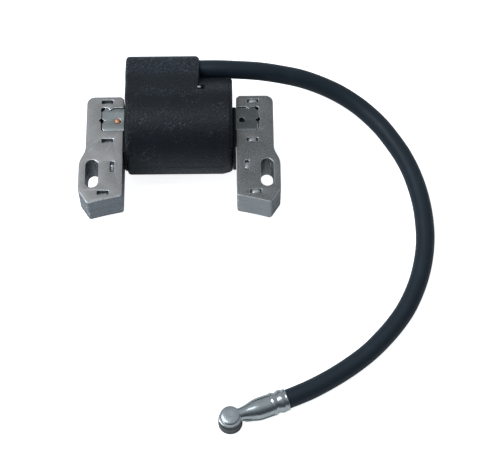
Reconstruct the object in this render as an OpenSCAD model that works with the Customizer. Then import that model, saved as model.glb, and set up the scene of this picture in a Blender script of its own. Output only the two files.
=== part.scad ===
// Flywheel ignition coil: two laminated steel legs on a laminated core bar, a moulded coil body with
// its windings and switching electronics, and a high-tension lead with a pressed-steel plug terminal.
// Frame: +X along the core bar, +Y away from the flywheel, +Z up. The origin is under the middle of
// the coil itself, on the flat that it rests on.

/* [Laminations] */
// Thickness of one steel plate with its varnish
lam_pitch = 0.65; // [0.5:0.05:0.7]
// Plates in each stack
lam_count = 22; // [20:1:24]
// Varnish gap between two plates
lam_gap = 0.01; // [0.005:0.005:0.02]

/* [Legs] */
// Middle to middle of the two mounting slots
slot_spacing = 70; // [69:0.5:71]
// Width of a mounting slot
slot_w = 5.1; // [4.8:0.1:5.3]
// End-to-end length of a mounting slot
slot_len = 12.4; // [11:0.1:13]
// Distance from the coil's middle to a leg's inner edge
leg_inner = 22.8; // [22.7:0.1:23.2]
// Distance from the coil's middle to a leg's outer edge
leg_outer = 37.9; // [37.5:0.1:38.4]
// Distance from the coil's middle to the mounting ear's edge
ear_outer = 40.4; // [40:0.1:41]
// Radius of the two pole faces, which follow the flywheel
pole_r = 126; // [118:1:134]

/* [Core bar] */
// Width of the core bar
bar_w = 10.4; // [10:0.1:10.8]
// Distance from the coil's middle to the core bar's end
bar_end_x = 31.5; // [31.2:0.1:31.8]
// Radius of the hole near each end of the bar
pin_hole_r = 1.25; // [1.1:0.05:1.35]

/* [Coil body] */
// Length of the moulded case
case_len = 42.6; // [42.2:0.1:42.8]
// Radius of the case round the core bar
case_r = 18.5; // [18:0.1:19]
// Wall of the case
case_wall = 1.8; // [1.6:0.1:2]
// Right-hand end of the lead tower, from the coil's middle
tower_x = 7.8; // [7:0.1:9]
// Radius of the lead tower
tower_r = 5.2; // [5.1:0.1:5.6]

/* [Lead] */
// Outside diameter of the high-tension lead
lead_d = 7.6; // [7:0.1:7.6]
// Diameter of the lead's stranded conductor
conductor_d = 2; // [1.6:0.1:2]

/* [Hidden] */

// Heights and places of the core bar's middle
core_y = 4.15;
case_flat = 17.6;
core_z = case_flat;
stack_h = lam_pitch * lam_count;
plate_t = lam_pitch - lam_gap;
half_bar = bar_w / 2;
half_case = case_len / 2;
fit_gap = 0.05;

// Leg outline, measured from the core bar's middle
leg_top = 10.9;
leg_corner_r = 3.2;
slot_y = -24.7;
ear_start_y = -14.2;
ear_end_y = -19.3;
ear_foot_y = -32.2;
pole_tip_x = 36.4;
pole_inner_y = -35;
pole_centre_y = pole_inner_y - sqrt(pole_r * pole_r - leg_inner * leg_inner);
leg_blank_y = -39.5;
blank_over = 9;
leg_top_cut = 1.4;
toe_rise = 1.2;
toe_drop = 3.3;

// Jigsaw joint between the bar and a leg
joint_gap = 0.25;
tight_gap = 0.02;
tooth_x = 28.1;
tooth_half = 1.3;
tooth_deep = 1;
bar_corner = 1.3;
bar_foot = 0.8;
relief_in = 0.6;
relief_r = 1.2;
key_half = 1.15;
key_y = -0.6;
pin_x = 25.1;
pin_r = pin_hole_r - fit_gap;
pin_low = 0.6;
pin_short = 0.1;
wire_r = 0.35;
ground_wire_drop = 0.4;

// Stamped interlocks: place on the leg, and angle
lance_l = 4.6;
lance_w = 1.7;
lances = [[29.6, 8.4, 0], [29.2, -9.7, 0], [27, -21.6, 90], [30.4, -33.4, 0]];

// Case
case_end_wall = 1.8;
bulge_y = 15;
bulge_z = 4;
bulge_r = 5.5;
tower_y = 24.8;
tower_z = 5.5;
pocket_top = 20.4;
pocket_end = 5.6;
mouth_w = 9;
mouth_len = 34;
mouth_recess = 0.5;

// Spools: half width and half height of the window, outwards from the bar
spool_gap = 0.1;
spool_wall = 0.9;
primary_depth = 1.6;
wrap_t = 0.3;
secondary_wall = 0.8;
spool_w = half_bar + spool_gap + spool_wall;
spool_h = stack_h / 2 + spool_gap + spool_wall;
primary_half = 16.5;
secondary_half = 17.8;
secondary_r = 15;
secondary_wire_r = 14;
secondary_bays = 6;
secondary_fin = 0.9;
cheek_t = 1.3;
cheek_r = 17.3;
cheek_flat_y = 6.6;
cheek_low = -14;
cheek_high = 8.4;
window_gap = 0.2;

// Electronics, placed from the core bar's middle
board_x = -1.5;
board_y = 16.8;
board_z = 4;
board_l = 13;
board_h = 11;
board_t = 1.2;
link_x = -10.9;
link_r = 0.4;
stop_y = 10.2;
stop_z = 15.1;
stop_r = 0.5;
stop_notch_r = 1.3;
stop_out = 0.7;
stop_in = 4.6;

// Lead
lead_r = lead_d / 2;
lead_bore_r = 1.1;
lead_start = -9;
lead_sides = 12;
rest_z = lead_r + 0.05;
exit_y = core_y + tower_y;
exit_z = core_z + tower_z;
end_z = 4.9;
lead_route = [
    [lead_start, exit_y, exit_z], [0, exit_y, exit_z], [8, exit_y, exit_z], [15, 29, 23],
    [22, 29.2, 22.2], [33, 29.8, 19.8], [44, 30.1, 16], [51.5, 29.7, 13.3], [59, 28.2, 10.6],
    [66, 25.8, 8.2], [72.5, 22.2, 6.3], [78, 17.8, 5], [83.5, 11.8, 4.2], [88, 5, rest_z],
    [91.8, -2, rest_z], [94.8, -9.5, rest_z], [97, -17.5, rest_z], [98.4, -25.5, rest_z],
    [99, -34, rest_z], [98.8, -42, rest_z], [97.6, -50, rest_z], [95.5, -58, rest_z],
    [92.6, -65.4, rest_z], [89, -72.3, rest_z], [84.5, -78.7, rest_z], [79.5, -84.5, rest_z],
    [74.2, -89.8, rest_z], [68.5, -94.4, rest_z], [62.5, -98.6, 4], [56.4, -102.4, 4.3],
    [49.5, -106.1, 4.6], [41.4, -109.6, end_z], [36.7, -111.25, end_z]
];
conductor_skip = 1;

// Plug terminal, in its own frame: its head at the middle, the lead coming in from +X
head_x = 19.4;
head_y = -117.3;
terminal_turn = 19.4;
ferrule_start = 15.6;
ferrule_end = 23.4;
ferrule_r = 4.5;
ferrule_bead_r = 4.85;
head_r = 4.1;
head_top = 9;
neck_x = 3.4;
neck_w = 4.8;
neck_h = 4.2;
neck_z = 6.6;
waist_x = 9.5;
waist_w = 6.8;
waist_h = 6.2;
waist_z = 5.4;
sheet_t = 0.5;
slice_t = 0.02;
contact_start = 6;
contact_end = 23.2;
ring_r = 4.7;
ring_bore_r = 3.2;
ring_top = 4.4;

// A plate or slab standing on the stack's underside, from an outline in X and Y
module stack_plate(index) {
    base = core_z - stack_h / 2 + index * lam_pitch + lam_gap / 2;
    translate([0, core_y, base]) linear_extrude(height = plate_t) children();
}

// An outline in Y and Z about the core bar, drawn out along X
module along_x(x0, x1) {
    translate([x0, core_y, core_z]) rotate([90, 0, 90]) linear_extrude(height = x1 - x0) children();
}

// A round rod along X, at a place measured from the core bar's middle
module rod_x(x0, x1, y, z, r) {
    translate([x0, core_y + y, core_z + z]) rotate([0, 90, 0]) cylinder(r = r, h = x1 - x0, $fn = 48);
}

// A straight round rod between two points
module rod(a, b, r) {
    d = b - a;
    long = norm(d);
    tilt = acos(d[2] / long);
    turn = atan2(d[1], d[0]);
    translate(a) rotate([0, tilt, turn]) cylinder(r = r, h = long, $fn = 32);
}

// A box by its middle and size, placed from the core bar's middle, and grown by g on every side
module part_box(middle, size, g) {
    grown = [size[0] + 2 * g, size[1] + 2 * g, size[2] + 2 * g];
    translate([middle[0], core_y + middle[1], core_z + middle[2]]) cube(grown, center = true);
}

// A rectangle with round corners, by its half sizes
module round_rect(half_w, half_h, r) {
    offset(r = r, $fn = 32) square([2 * (half_w - r), 2 * (half_h - r)], center = true);
}

// The end of the core bar in its leg, with room gx past the end and gt over the top
function bar_end(gx, gt, gb) = [
    [leg_inner - 2, -half_bar - gb], [leg_inner - 2, half_bar + gt],
    [tooth_x - tooth_half, half_bar + gt], [tooth_x, half_bar - tooth_deep + gt],
    [tooth_x + tooth_half, half_bar + gt], [bar_end_x - bar_corner + gx, half_bar + gt],
    [bar_end_x + gx, half_bar - bar_corner + gt], [bar_end_x + gx, -half_bar + bar_foot],
    [bar_end_x - bar_foot + gx, -half_bar - gb]
];

// Square key hole on its point, half in the bar and half in the leg
module key_hole() {
    translate([bar_end_x + 0.1, key_y]) rotate(45) square(key_half * sqrt(2), center = true);
}

module slot_outline() {
    run = slot_len - slot_w;
    translate([slot_spacing / 2, slot_y]) {
        square([slot_w, run], center = true);
        translate([0, run / 2]) circle(d = slot_w, $fn = 64);
        translate([0, -run / 2]) circle(d = slot_w, $fn = 64);
    }
}

// Round outer corners from a blank that runs past the inner edge and the pole, then trimmed to both
module leg_blank() {
    intersection() {
        offset(r = leg_corner_r, $fn = 48) offset(delta = -leg_corner_r) polygon([
            [leg_inner - blank_over, leg_top], [leg_outer, leg_top], [leg_outer, ear_start_y],
            [ear_outer, ear_end_y], [ear_outer, ear_foot_y], [pole_tip_x, leg_blank_y + toe_rise],
            [pole_tip_x, leg_blank_y - blank_over], [leg_inner - blank_over, leg_blank_y - blank_over]
        ]);
        polygon([
            [leg_inner, leg_blank_y], [leg_inner, leg_top - leg_top_cut],
            [leg_inner + leg_top_cut, leg_top], [leg_outer + blank_over, leg_top],
            [ear_outer + 0.1, ear_foot_y], [pole_tip_x, pole_inner_y - toe_drop],
            [pole_tip_x, leg_blank_y]
        ]);
    }
}

module leg_outline(lanced) {
    difference() {
        leg_blank();
        translate([0, pole_centre_y]) circle(r = pole_r, $fn = 360);
        slot_outline();
        polygon(bar_end(joint_gap, joint_gap, tight_gap));
        translate([bar_end_x - relief_in, half_bar - relief_in]) circle(r = relief_r, $fn = 32);
        key_hole();
        if (lanced) {
            for (p = lances) translate([p[0], p[1]]) rotate(p[2]) square([lance_l, lance_w], center = true);
        }
    }
}

module leg_stack() {
    for (i = [0 : lam_count - 1]) stack_plate(i) leg_outline(i == 0 || i == lam_count - 1);
}

module right_pole_laminations() {
    color([0.42, 0.43, 0.44]) leg_stack();
}

module left_pole_laminations() {
    color([0.56, 0.56, 0.57]) mirror([1, 0, 0]) leg_stack();
}

module bar_half() {
    difference() {
        union() {
            polygon(bar_end(0, 0, 0));
            translate([-1, -half_bar]) square([leg_inner, bar_w]);
        }
        key_hole();
        translate([pin_x, key_y]) circle(r = pin_hole_r, $fn = 48);
    }
}

module core_bar_laminations() {
    color([0.5, 0.51, 0.52]) for (i = [0 : lam_count - 1]) {
        stack_plate(i) union() {
            bar_half();
            mirror([1, 0]) bar_half();
        }
    }
}

// Copper pin through the left hole, a little short of the top plate's face
module ground_pin() {
    color([0.8, 0.45, 0.3]) translate([-pin_x, core_y + key_y, core_z - stack_h / 2 - pin_low]) {
        cylinder(r = pin_r, h = stack_h + pin_low - pin_short, $fn = 48);
    }
}

// From the pin, in a groove under the bar, to the primary winding
module ground_wire(g = 0) {
    z = -stack_h / 2 - ground_wire_drop;
    color([0.78, 0.42, 0.25]) rod_x(-pin_x + pin_r, -primary_half - 1.1, key_y, z, wire_r + g);
}

// Spacer between the case and a leg, flat on the side away from the flywheel
module end_cheek() {
    x0 = half_case + fit_gap;
    difference() {
        along_x(x0, x0 + cheek_t) difference() {
            intersection() {
                circle(r = cheek_r, $fn = 96);
                translate([-cheek_r, cheek_low]) square([cheek_r + cheek_flat_y, cheek_high - cheek_low]);
            }
            square([bar_w + window_gap, stack_h + window_gap], center = true);
        }
        mirror([1, 0, 0]) ground_wire(fit_gap);
    }
}

module right_end_cheek() {
    color([0.09, 0.1, 0.11]) end_cheek();
}

module left_end_cheek() {
    color([0.09, 0.1, 0.11]) mirror([1, 0, 0]) end_cheek();
}

// Inner spool: a square tube through the whole case, with a flange at each end of the winding
module primary_bobbin() {
    color([0.15, 0.15, 0.16]) difference() {
        union() {
            along_x(-half_case, half_case) round_rect(spool_w, spool_h, 0.6);
            for (s = [-1, 1]) along_x(s * primary_half - 0.5, s * primary_half + 0.5) {
                round_rect(spool_w + primary_depth, spool_h + primary_depth, 1.4);
            }
        }
        along_x(-half_case - 1, half_case + 1) {
            square([bar_w + window_gap, stack_h + window_gap], center = true);
        }
        ground_wire(fit_gap);
    }
}

module wound_ring(half, inner, outer, corner) {
    along_x(-half, half) difference() {
        round_rect(spool_w + outer, spool_h + outer, corner);
        round_rect(spool_w + inner, spool_h + inner, corner - outer + inner);
    }
}

module primary_winding() {
    wound_half = primary_half - 0.5 - fit_gap;
    color([0.72, 0.36, 0.18]) wound_ring(wound_half, fit_gap, primary_depth - fit_gap, 2.4);
}

module primary_insulation() {
    color([0.86, 0.76, 0.42]) wound_ring(primary_half, primary_depth, primary_depth + wrap_t, 2.6);
}

// Outer spool: the high-tension turns lie in bays, so that neighbours never differ by much
module secondary_bobbin() {
    inner = primary_depth + wrap_t + fit_gap;
    bay = (2 * secondary_half - secondary_fin) / secondary_bays;
    color([0.2, 0.2, 0.21]) difference() {
        union() {
            along_x(-secondary_half, secondary_half) {
                round_rect(spool_w + inner + secondary_wall, spool_h + inner + secondary_wall, 4);
            }
            for (i = [0 : secondary_bays]) {
                x = -secondary_half + i * bay;
                rod_x(x, x + secondary_fin, 0, 0, secondary_r);
            }
        }
        along_x(-half_case, half_case) round_rect(spool_w + inner, spool_h + inner, 2.8);
    }
}

module secondary_winding() {
    inner = primary_depth + wrap_t + secondary_wall + 2 * fit_gap;
    bay = (2 * secondary_half - secondary_fin) / secondary_bays;
    color([0.66, 0.3, 0.16]) difference() {
        for (i = [0 : secondary_bays - 1]) {
            x = -secondary_half + secondary_fin + i * bay + fit_gap;
            rod_x(x, x + bay - secondary_fin - 2 * fit_gap, 0, 0, secondary_wire_r);
        }
        along_x(-half_case, half_case) round_rect(spool_w + inner, spool_h + inner, 4);
        hv_link_wire(fit_gap);
    }
}

// Outline of the case in Y and Z: round, with a full-length bulge away from the flywheel
module case_outline(inset) {
    difference() {
        hull() {
            circle(r = case_r - inset, $fn = 160);
            translate([bulge_y, bulge_z]) circle(r = bulge_r - inset, $fn = 64);
        }
        translate([-case_r, -case_r - case_flat + inset]) square([2 * case_r, case_r]);
    }
}

module tower_outline(inset) {
    hull() {
        circle(r = case_r - inset, $fn = 160);
        translate([tower_y, tower_z]) circle(r = tower_r - inset, $fn = 64);
    }
}

// Space for the switching electronics, under the lead's bore
module pocket(inset) {
    along_x(-half_case + case_end_wall + inset, pocket_end - inset) intersection() {
        tower_outline(case_wall + inset);
        translate([10, -10]) square([pocket_top - 10 - inset, 30]);
    }
}

// The opening in the flat underside through which the resin is poured
module mouth(inset, low) {
    high = case_wall + 1;
    size = [mouth_len - 2 * inset, mouth_w - 2 * inset, high - low];
    translate([0, core_y, (low + high) / 2]) cube(size, center = true);
}

module coil_case() {
    color([0.14, 0.16, 0.18]) difference() {
        union() {
            along_x(-half_case, half_case) case_outline(0);
            along_x(-half_case, tower_x) intersection() {
                tower_outline(0);
                translate([-5, -5]) square([45, 45]);
            }
        }
        along_x(-half_case + case_end_wall, half_case - case_end_wall) case_outline(case_wall);
        pocket(0);
        mouth(0, -1);
        along_x(-half_case - 1, half_case + 1) round_rect(spool_w + fit_gap, spool_h + fit_gap, 0.6);
        rod_x(lead_start, tower_x + 1, tower_y, tower_z, lead_r + fit_gap);
        rod_x(link_x - 1, lead_start + 1, tower_y, tower_z, 2.6);
        rod([link_x, core_y + 19, exit_z], [link_x, exit_y, exit_z], 0.9);
        rod_x(tower_x - 1.8, tower_x + 1.9, stop_y, stop_z, stop_notch_r);
        stop_pin(fit_gap);
        stop_wire(fit_gap);
    }
}

// Set resin round the windings and the electronics, level with the mouth on the underside
module potting_compound() {
    inset = case_wall + fit_gap;
    end = half_case - case_end_wall - fit_gap;
    color([0.1, 0.1, 0.11]) difference() {
        union() {
            along_x(-end, end) case_outline(inset);
            pocket(fit_gap);
            mouth(fit_gap, mouth_recess);
        }
        rod_x(-end - 1, end + 1, 0, 0, secondary_r + fit_gap);
        circuit_board(fit_gap);
        power_transistor(fit_gap);
        trigger_transistor(fit_gap);
        bias_resistors(fit_gap);
        clamp_diode(fit_gap);
        primary_wire(fit_gap);
        stop_wire(fit_gap);
        hv_link_wire(fit_gap);
    }
}

module circuit_board(g = 0) {
    color([0.15, 0.4, 0.25]) part_box([board_x, board_y, board_z], [board_l, board_t, board_h], g);
}

module power_transistor(g = 0) {
    color([0.12, 0.12, 0.13]) {
        part_box([board_x - 3.2, board_y + 1.9, board_z + 1.2], [5, 2.4, 5.6], g);
    }
}

module trigger_transistor(g = 0) {
    color([0.12, 0.12, 0.13]) {
        part_box([board_x + 2, board_y + 1.5, board_z + 2.6], [2.8, 1.6, 2.4], g);
    }
}

module bias_resistors(g = 0) {
    color([0.55, 0.42, 0.3]) for (z = [-3.2, -1]) {
        part_box([board_x + 3, board_y + 1.15, board_z + z], [3.2, 0.9, 1.4], g);
    }
}

module clamp_diode(g = 0) {
    color([0.75, 0.35, 0.2]) {
        part_box([board_x - 2.6, board_y + 1.4, board_z - 3.9], [4, 1.4, 1.6], g);
    }
}

// From the end of the primary winding, round the secondary spool, to the board
module primary_wire(g = 0) {
    x = primary_half + 2.25;
    board_edge = board_x + board_l / 2;
    top = [x, core_y + board_y, core_z + board_z];
    color([0.78, 0.42, 0.25]) union() {
        rod([x, core_y + spool_w + 0.6, core_z + board_z], top, wire_r + g);
        rod_x(board_edge, x + wire_r, board_y, board_z, wire_r + g);
    }
}

module stop_pin(g = 0) {
    color([0.8, 0.8, 0.78]) rod_x(tower_x - stop_in, tower_x + stop_out, stop_y, stop_z, stop_r + g);
}

module stop_wire(g = 0) {
    x = tower_x - stop_in - wire_r;
    a = [x, core_y + stop_y, core_z + stop_z];
    b = [x, core_y + board_y - 0.2, core_z + board_z + board_h / 2];
    color([0.8, 0.8, 0.78]) rod(a, b, wire_r + g);
}

module hv_link_wire(g = 0) {
    a = [link_x, core_y + 13.4, exit_z];
    b = [link_x, exit_y - 2.5, exit_z];
    color([0.78, 0.42, 0.25]) rod(a, b, link_r + g);
}

// Brass disc with a spike that goes up the middle of the lead
module hv_contact() {
    color([0.8, 0.65, 0.3]) {
        rod_x(link_x - 0.6, link_x + 0.6, tower_y, tower_z, 2.45);
        rod_x(link_x + 0.5, lead_start + 5, tower_y, tower_z, 0.9);
    }
}

// Unit vector along the route at point i
function route_dir(p, i) =
    let (a = p[max(i - 1, 0)], b = p[min(i + 1, len(p) - 1)]) (b - a) / norm(b - a);

// One ring of points round the route at point i
function route_ring(p, i, r, sides) =
    let (t = route_dir(p, i), s = cross(t, [0, 0, 1]), u = s / norm(s), v = cross(u, t))
    [for (k = [0 : sides - 1]) let (a = 360 * (k + 0.5) / sides) p[i] + r * (cos(a) * u + sin(a) * v)];

// Faces of a tube from ring set a to ring set b: quads between rings i and i + 1
function skin(first, rings, n, flip) = [
    for (i = [0 : rings - 2], k = [0 : n - 1])
        let (a = first + i * n + k, b = first + i * n + (k + 1) % n)
        flip ? [a, b, b + n, a + n] : [a, a + n, b + n, b]
];

// Hollow tube along a route
module hollow_tube(p, r_out, r_in, n) {
    rings = len(p);
    count = rings * n;
    outer = [for (i = [0 : rings - 1]) each route_ring(p, i, r_out, n)];
    inner = [for (i = [0 : rings - 1]) each route_ring(p, i, r_in, n)];
    start = [for (k = [0 : n - 1]) [k, (k + 1) % n, count + (k + 1) % n, count + k]];
    far = count - n;
    end = [for (k = [0 : n - 1]) [far + (k + 1) % n, far + k, far + count + k, far + count + (k + 1) % n]];
    faces = concat(skin(0, rings, n, false), skin(count, rings, n, true), start, end);
    polyhedron(points = concat(outer, inner), faces = faces, convexity = 8);
}

// Solid rod along a route
module solid_tube(p, r, n) {
    rings = len(p);
    points = [for (i = [0 : rings - 1]) each route_ring(p, i, r, n)];
    start = [[for (k = [0 : n - 1]) k]];
    end = [[for (k = [0 : n - 1]) rings * n - 1 - k]];
    polyhedron(points = points, faces = concat(skin(0, rings, n, false), start, end), convexity = 8);
}

module spark_lead() {
    color([0.13, 0.14, 0.15]) hollow_tube(lead_route, lead_r, lead_bore_r, lead_sides);
}

module lead_conductor() {
    last = len(lead_route) - 2;
    wires = [for (i = [conductor_skip : last]) lead_route[i]];
    color([0.75, 0.72, 0.68]) solid_tube(wires, conductor_d / 2 - fit_gap, 8);
}

// Puts the terminal's own frame in place
module terminal_place() {
    translate([head_x, head_y, 0]) rotate([0, 0, terminal_turn]) children();
}

// Taper from the ferrule to the neck, drawn in by the sheet's thickness for its inside
module channel(x, r, inset, past) {
    hull() {
        translate([x, 0, end_z]) rotate([0, 90, 0]) cylinder(r = r, h = slice_t, $fn = 32);
        translate([waist_x, 0, waist_z]) {
            scale([slice_t, waist_w / 2 - inset, waist_h / 2 - inset]) sphere(r = 1, $fn = 32);
        }
        translate([neck_x - past, 0, neck_z]) {
            cube([slice_t, neck_w - 2 * inset, neck_h - 2 * inset], center = true);
        }
    }
}

// Pressed-steel elbow: a ferrule round the lead, a tapering channel and a cup over the plug's tip
module terminal_shell() {
    color([0.72, 0.74, 0.76]) terminal_place() {
        translate([ferrule_start, 0, end_z]) rotate([0, 90, 0]) {
            rotate_extrude($fn = 64) polygon([
                [lead_r + fit_gap, 0], [ferrule_r, 0], [ferrule_r, 1.2], [ferrule_bead_r, 1.9],
                [ferrule_r, 2.7], [ferrule_r, 4], [ferrule_bead_r, 4.8], [ferrule_r, 5.6],
                [ferrule_r, 6.9], [ferrule_bead_r, ferrule_end - ferrule_start],
                [lead_r + fit_gap, ferrule_end - ferrule_start]
            ]);
        }
        difference() {
            channel(ferrule_start + 0.3, lead_r + fit_gap + 0.45, 0, 0);
            channel(ferrule_start + 0.5, lead_r + fit_gap - 0.05, sheet_t, 0.2);
            translate([0, 0, -1]) {
                cylinder(r = head_r - sheet_t / 2, h = head_top + 1 - sheet_t / 2, $fn = 64);
            }
        }
        rotate_extrude($fn = 64) polygon([
            [0, head_top], [head_r - 0.9, head_top], [head_r, head_top - 0.9], [head_r, ring_top + 0.02],
            [head_r - sheet_t, ring_top + 0.02], [head_r - sheet_t, head_top - 1.1],
            [head_r - 1.1, head_top - sheet_t], [0, head_top - sheet_t]
        ]);
    }
}

// Staple that runs from the neck, up the middle of the jacket, to the end of the conductor
module terminal_contact() {
    color([0.75, 0.72, 0.6]) terminal_place() {
        translate([contact_start, 0, end_z]) rotate([0, 90, 0]) {
            cylinder(r = 0.7, h = contact_end - contact_start, $fn = 32);
        }
    }
}

// Round spring wire in the ring's groove, which snaps over the plug's tip
module terminal_clip() {
    color([0.8, 0.8, 0.78]) terminal_place() {
        translate([0, 0, ring_top / 2]) rotate_extrude(angle = 300, $fn = 64) {
            translate([ring_bore_r + 0.45, 0]) circle(r = 0.4, $fn = 24);
        }
    }
}

// Insulating ring that lines the cup and stands on the plug's shoulder
module terminal_ring() {
    mid = ring_top / 2;
    color([0.1, 0.1, 0.11]) terminal_place() {
        rotate_extrude($fn = 64) polygon([
            [ring_bore_r, 0], [ring_r - 0.5, 0], [ring_r, 0.5], [ring_r, ring_top - 0.3],
            [ring_r - 0.3, ring_top], [ring_bore_r, ring_top], [ring_bore_r, mid + 0.45],
            [ring_bore_r + 0.9, mid + 0.45], [ring_bore_r + 0.9, mid - 0.45],
            [ring_bore_r, mid - 0.45]
        ]);
    }
}

left_pole_laminations();
right_pole_laminations();
core_bar_laminations();
ground_pin();
ground_wire();
left_end_cheek();
right_end_cheek();
primary_bobbin();
primary_winding();
primary_insulation();
secondary_bobbin();
secondary_winding();
coil_case();
potting_compound();
circuit_board();
power_transistor();
trigger_transistor();
bias_resistors();
clamp_diode();
primary_wire();
stop_pin();
stop_wire();
hv_link_wire();
hv_contact();
spark_lead();
lead_conductor();
terminal_shell();
terminal_contact();
terminal_clip();
terminal_ring();
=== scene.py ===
"""Flywheel ignition coil: the looks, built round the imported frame.

Lengths in this file are millimetres in the part's own frame, and turn into metres as a mesh is made.
The core bar runs along X, the flywheel lies towards -Y, and Z is square to the steel plates.
"""

import logging
import math
from dataclasses import dataclass, field
from enum import Enum

import bmesh
import bpy
import numpy as np
from mathutils import Matrix, Vector
from mathutils.geometry import tessellate_polygon

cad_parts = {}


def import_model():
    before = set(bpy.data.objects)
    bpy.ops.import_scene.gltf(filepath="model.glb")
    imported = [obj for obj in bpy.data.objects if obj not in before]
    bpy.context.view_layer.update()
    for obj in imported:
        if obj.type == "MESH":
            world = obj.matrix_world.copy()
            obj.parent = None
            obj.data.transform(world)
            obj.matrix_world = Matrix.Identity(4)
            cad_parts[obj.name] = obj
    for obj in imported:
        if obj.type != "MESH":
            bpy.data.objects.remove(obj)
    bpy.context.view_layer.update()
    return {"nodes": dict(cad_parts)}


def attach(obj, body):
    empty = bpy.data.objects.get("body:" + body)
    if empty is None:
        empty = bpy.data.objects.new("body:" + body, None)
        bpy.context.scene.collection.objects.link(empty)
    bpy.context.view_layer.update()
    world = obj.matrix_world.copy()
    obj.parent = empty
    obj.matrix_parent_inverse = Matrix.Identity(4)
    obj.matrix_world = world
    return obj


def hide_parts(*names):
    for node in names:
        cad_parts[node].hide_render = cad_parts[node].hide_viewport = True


log = logging.getLogger("ignition_coil")
Array = np.ndarray
Colour = tuple[float, float, float]
MM = 0.001
CORE_Y = 4.15
CORE_Z = 17.6
BODY = "root"
BLACK: Colour = (0.0, 0.0, 0.0)


class Side(Enum):
    """The two legs of the core, by the sign of their X."""

    LEFT = -1
    RIGHT = 1


# ---------------------------------------------------------------- meshes


@dataclass
class Surface:
    """Points with the faces that join them, before they become a mesh.

    Args:
        points: places in millimetres, one row each.
        quads: rows of four point numbers.
        tris: rows of three point numbers, for flat caps.
        marks: named values, one for each point.
    """

    points: Array
    quads: Array
    tris: Array = field(default_factory=lambda: np.zeros((0, 3), int))
    marks: dict[str, Array] = field(default_factory=dict)

    def moved(self, matrix: Array) -> "Surface":
        """Returns the surface with each point turned and shifted by a 4 by 4 matrix."""
        turned = self.points @ matrix[:3, :3].T + matrix[:3, 3]
        return Surface(turned, self.quads, self.tris, self.marks)

    def repeated(self, shifts: Array) -> "Surface":
        """Copies the surface once for each shift.

        Args:
            shifts: one row of X, Y, Z for each copy.

        Returns:
            One surface that holds every copy.
        """
        count, size = len(shifts), len(self.points)
        step = np.arange(count)[:, None, None] * size
        return Surface(
            (self.points[None] + shifts[:, None]).reshape(-1, 3),
            (self.quads[None] + step).reshape(-1, 4),
            (self.tris[None] + step).reshape(-1, 3),
            {name: np.tile(value, count) for name, value in self.marks.items()},
        )


def joined(parts: list[Surface]) -> Surface:
    """Puts several surfaces into one.

    Args:
        parts: the surfaces, which all have the same marks.

    Returns:
        One surface with the marks of all.
    """
    starts = np.cumsum([0] + [len(p.points) for p in parts[:-1]])
    names = parts[0].marks.keys()
    return Surface(
        np.concatenate([p.points for p in parts]),
        np.concatenate([p.quads + s for p, s in zip(parts, starts)]),
        np.concatenate([p.tris + s for p, s in zip(parts, starts)]),
        {n: np.concatenate([p.marks[n] for p in parts]) for n in names},
    )


def grid_quads(rows: int, columns: int, wrap_rows: bool, wrap_columns: bool) -> Array:
    """Numbers the quads of a grid whose points are stored row by row.

    Args:
        rows: how many rows of points.
        columns: how many points in a row.
        wrap_rows: whether the last row joins the first.
        wrap_columns: whether each row closes on itself.

    Returns:
        Rows of four point numbers.
    """
    r = np.arange(rows if wrap_rows else rows - 1)[:, None]
    c = np.arange(columns if wrap_columns else columns - 1)[None]
    down, right = (r + 1) % rows, (c + 1) % columns
    corners = [r * columns + c, r * columns + right, down * columns + right, down * columns + c]
    return np.stack(np.broadcast_arrays(*corners), -1).reshape(-1, 4)


def grid_surface(grid: Array, wrap_rows: bool = False, wrap_columns: bool = True) -> Surface:
    """Makes a surface from a grid of points.

    Args:
        grid: rows by columns by three.
        wrap_rows: whether the last row joins the first.
        wrap_columns: whether each row closes on itself.

    Returns:
        The surface.
    """
    rows, columns = grid.shape[:2]
    return Surface(grid.reshape(-1, 3), grid_quads(rows, columns, wrap_rows, wrap_columns))


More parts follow.
